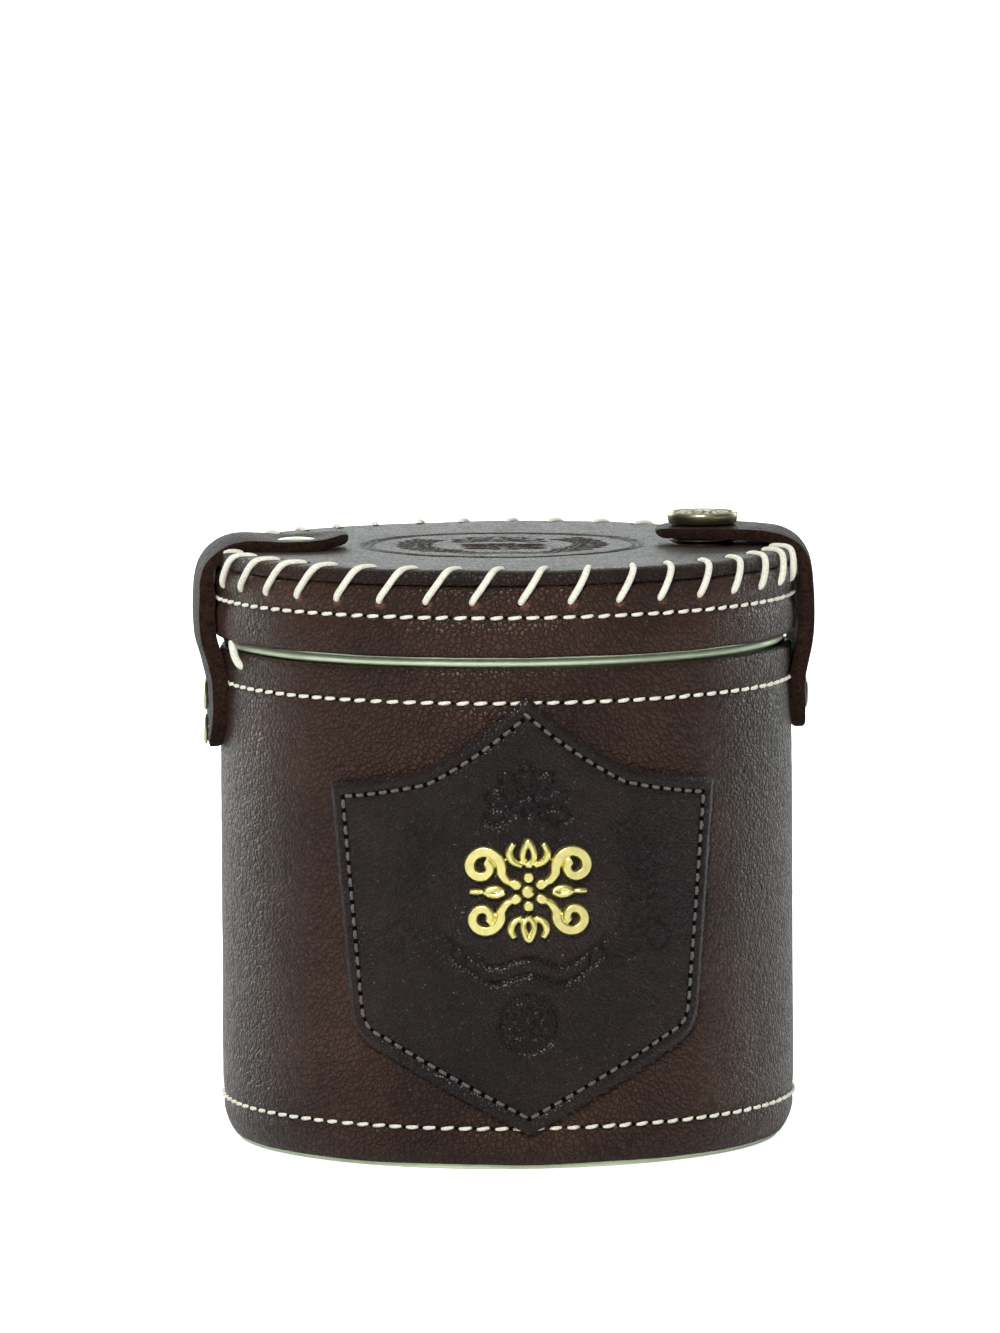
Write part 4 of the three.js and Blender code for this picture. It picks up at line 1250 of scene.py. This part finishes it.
def snap_cap():
    """The press stud's cap, engraved with a ring of leaves round a six-petalled flower."""
    low, high = box("snap_cap")
    radius = (high[0] - low[0]) / 2
    seat = 102.3
    outline = [(0, low[2] - seat), (SHANK, low[2] - seat), (SHANK, 0), (radius - 0.5, 0),
               (radius - 0.2, 0.2), (radius - 0.12, 0.9), (radius, 1.2), (radius, 1.55),
               (radius - 0.12, 1.85), (radius - 0.4, 2.0), (radius - 0.72, 1.95),
               (radius - 0.95, 1.78)]
    face, rings = radius - 1.0, 26
    for k in range(1, rings + 1):
        share = k / rings
        outline.append((face * (1 - share), 1.76 + 0.5 * math.sin(math.pi / 2 * share)))
    bm = turned(outline, 144)
    layer = bm.verts.layers.float.new("pressed")
    flower_edge, wreath_start, wreath_edge = 2.3, 2.6, 4.55
    for vert in bm.verts:
        reach = math.hypot(vert.co.x, vert.co.y)
        if vert.co.z < 1.7 or reach > face + 0.05:
            continue
        angle = math.atan2(vert.co.y, vert.co.x)
        carved = 0.0
        if reach < flower_edge:
            petals = abs(math.cos(angle * 3))
            if petals:
                carved = (1 - petals) ** 1.5 * min(1, reach)
        elif wreath_start < reach < wreath_edge:
            leaves = abs(math.sin(angle * 8 + 1.1 * math.sin(reach * 2.1)))
            if leaves:
                carved = (1 - leaves) ** 1.5
        else:
            carved = 1.0
        vert.co.z -= 0.17 * carved
        vert[layer] = min(1.0, carved * 1.1)
    shifted(bm, x=middle_x("snap_cap"), z=seat)
    keep(bm, "snap_cap_engraved", "tab", [ANTIQUE], ["snap_cap"], 50)


def snap_socket():
    low, high = box("snap_socket")
    outer, base, top = (high[0] - low[0]) / 2, low[2], high[2]
    outer += 1.4
    outline = rounded([(2.4, base - 0.25), (outer - 0.5, base - 0.3), (outer, base),
                       (outer, base + 0.45), (outer - 0.5, base + 0.7), (outer - 0.45, top),
                       (2.4, top)], 0.25, 3)
    bm = shifted(turned(outline, 56), x=middle_x("snap_cap"))
    keep(bm, "snap_socket_ring", "tab", [ANTIQUE], ["snap_socket"], 40)


def snap_stud():
    low, high = box("snap_stud")
    outer, top = (high[0] - low[0]) / 2, high[2]
    outline = [(0, 93.7), (SHANK, 93.7), (SHANK, 98.75), (outer - 0.3, 98.75), (outer, 98.85),
               (outer, 99.05), (outer - 0.25, 99.2), (3.1, 99.22), (2.7, 99.12), (2.2, 99.15),
               (1.75, 99.3), (1.72, 99.5), (2.0, top - 0.4), (1.9, top - 0.15), (1.5, top),
               (0, top)]
    bm = shifted(turned(outline, 56), x=middle_x("snap_cap"))
    keep(bm, "snap_stud_post", "lid", [ANTIQUE], ["snap_stud"], 40)


# ------------------------------------------------------------------ pieces left as they were made
def finish_hidden_nodes():
    """Gives boards, prongs and burrs, which are drawn as the CAD has them, their materials."""
    finishes = {
        "base_board": CARD, "body_board": CARD, "lid_board": CARD, "emblem_prong_left": GOLD,
        "emblem_prong_right": GOLD, "hinge_lid_burr": RIVET_METAL, "snap_stud_burr": ANTIQUE,
    }
    for name, material in finishes.items():
        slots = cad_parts[name].material_slots
        for entry in slots:
            entry.material = material
        if not slots:
            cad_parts[name].data.materials.append(material)


def white_sweep_world():
    """White to the eye, and a soft grey fill for everything else."""
    world = bpy.data.worlds.new("studio")
    bpy.context.scene.world = world
    world.use_nodes = True
    tree = world.node_tree
    seen = add(tree, "LightPath").outputs["Is Camera Ray"]
    strength = math_node(tree, "MULTIPLY_ADD", seen, 1.0 - WORLD_FILL, WORLD_FILL)
    tree.links.new(strength, tree.nodes["Background"].inputs["Strength"])
    tree.nodes["Background"].inputs["Color"].default_value = (1, 1, 1, 1)


def studio_floor():
    bm = bmesh.new()
    bmesh.ops.create_circle(bm, cap_ends=True, segments=96, radius=9.0)
    mesh = bpy.data.meshes.new("studio_floor")
    bm.to_mesh(mesh)
    bm.free()
    ground = add_object("studio_floor", mesh)
    paper, tree, where, shader = start_material("studio_paper")
    speckle = add(tree, "TexNoise", {"Vector": where, "Scale": 60.0})
    mottle = remap(tree, speckle.outputs[0], 0.3, 0.7, 0, 0.3)
    tone = mix_colour(tree, mottle, (0.93, 0.93, 0.93, 1), (0.91, 0.91, 0.91, 1))
    seen = add(tree, "LightPath").outputs["Is Camera Ray"]
    fill(tree, shader, {
        "Base Color": tone, "Roughness": 0.9, "Specular IOR Level": 0.1,
        "Emission Strength": math_node(tree, "MULTIPLY", seen, FLOOR_LIFT),
        "Emission Color": (1, 1, 1, 1),
    })
    ground.data.materials.append(paper)


def softbox(name, place_at, size, power, colour=(1, 1, 1)):
    data = bpy.data.lights.new(name, "AREA")
    data.shape = "RECTANGLE"
    data.size, data.size_y = size
    data.energy = power
    data.color = colour
    lamp = add_object(name, data)
    lamp.location = place_at
    towards_cup = Vector((0, 0, 0.05)) - Vector(place_at)
    lamp.rotation_euler = towards_cup.to_track_quat("-Z", "Y").to_euler()


def overhead_light():
    data = bpy.data.lights.new("overhead", "SUN")
    data.angle = math.radians(70)
    data.energy = 1.0
    lamp = add_object("overhead", data)
    lamp.rotation_euler = Euler((math.radians(-22), 0, 0))


def light():
    white_sweep_world()
    overhead_light()
    softbox("left_rim_softbox", (-0.85, 1.15, 0.4), (0.5, 1.0), 10.5, COOL)
    softbox("right_rim_softbox", (1.05, 0.95, 0.4), (0.4, 1.0), 7.5, COOL)
    softbox("front_softbox", (-0.4, -1.6, 1.25), (0.4, 0.35), 41.0)
    softbox("back_softbox", (0.0, 1.5, 0.45), (1.2, 0.4), 6.0, COOL)
    bpy.context.scene.view_settings.view_transform = "Standard"


tin_pieces()
linings()
lid_tin_piece()
body_leather()
lid_band()
machine_row("body_stitches_top", body_radius, BODY_ROWS[1], 100, "cup", ["body_thread_top"])
machine_row("body_stitches_bottom", body_radius, BODY_ROWS[0], 100, "cup", ["body_thread_bottom"])
machine_row("lid_stitches", band_radius, LID_ROW, 102, "lid", ["lid_thread"], LID_SHIFT)
lacing()
loose_end()
lid_top()
shield_patch()
patch_stitching()
cast_emblem()
back_seam()
both_straps()
side_rivet("closing_rivet_cap", "closing_strap_rivet", 1)
side_rivet("hinge_rivet_cap_low", "hinge_rivet_lower", -1)
side_rivet("hinge_rivet_cap_high", "hinge_rivet_upper", -1)
lid_rivet()
snap_cap()
snap_socket()
snap_stud()
finish_hidden_nodes()
studio_floor()
light()
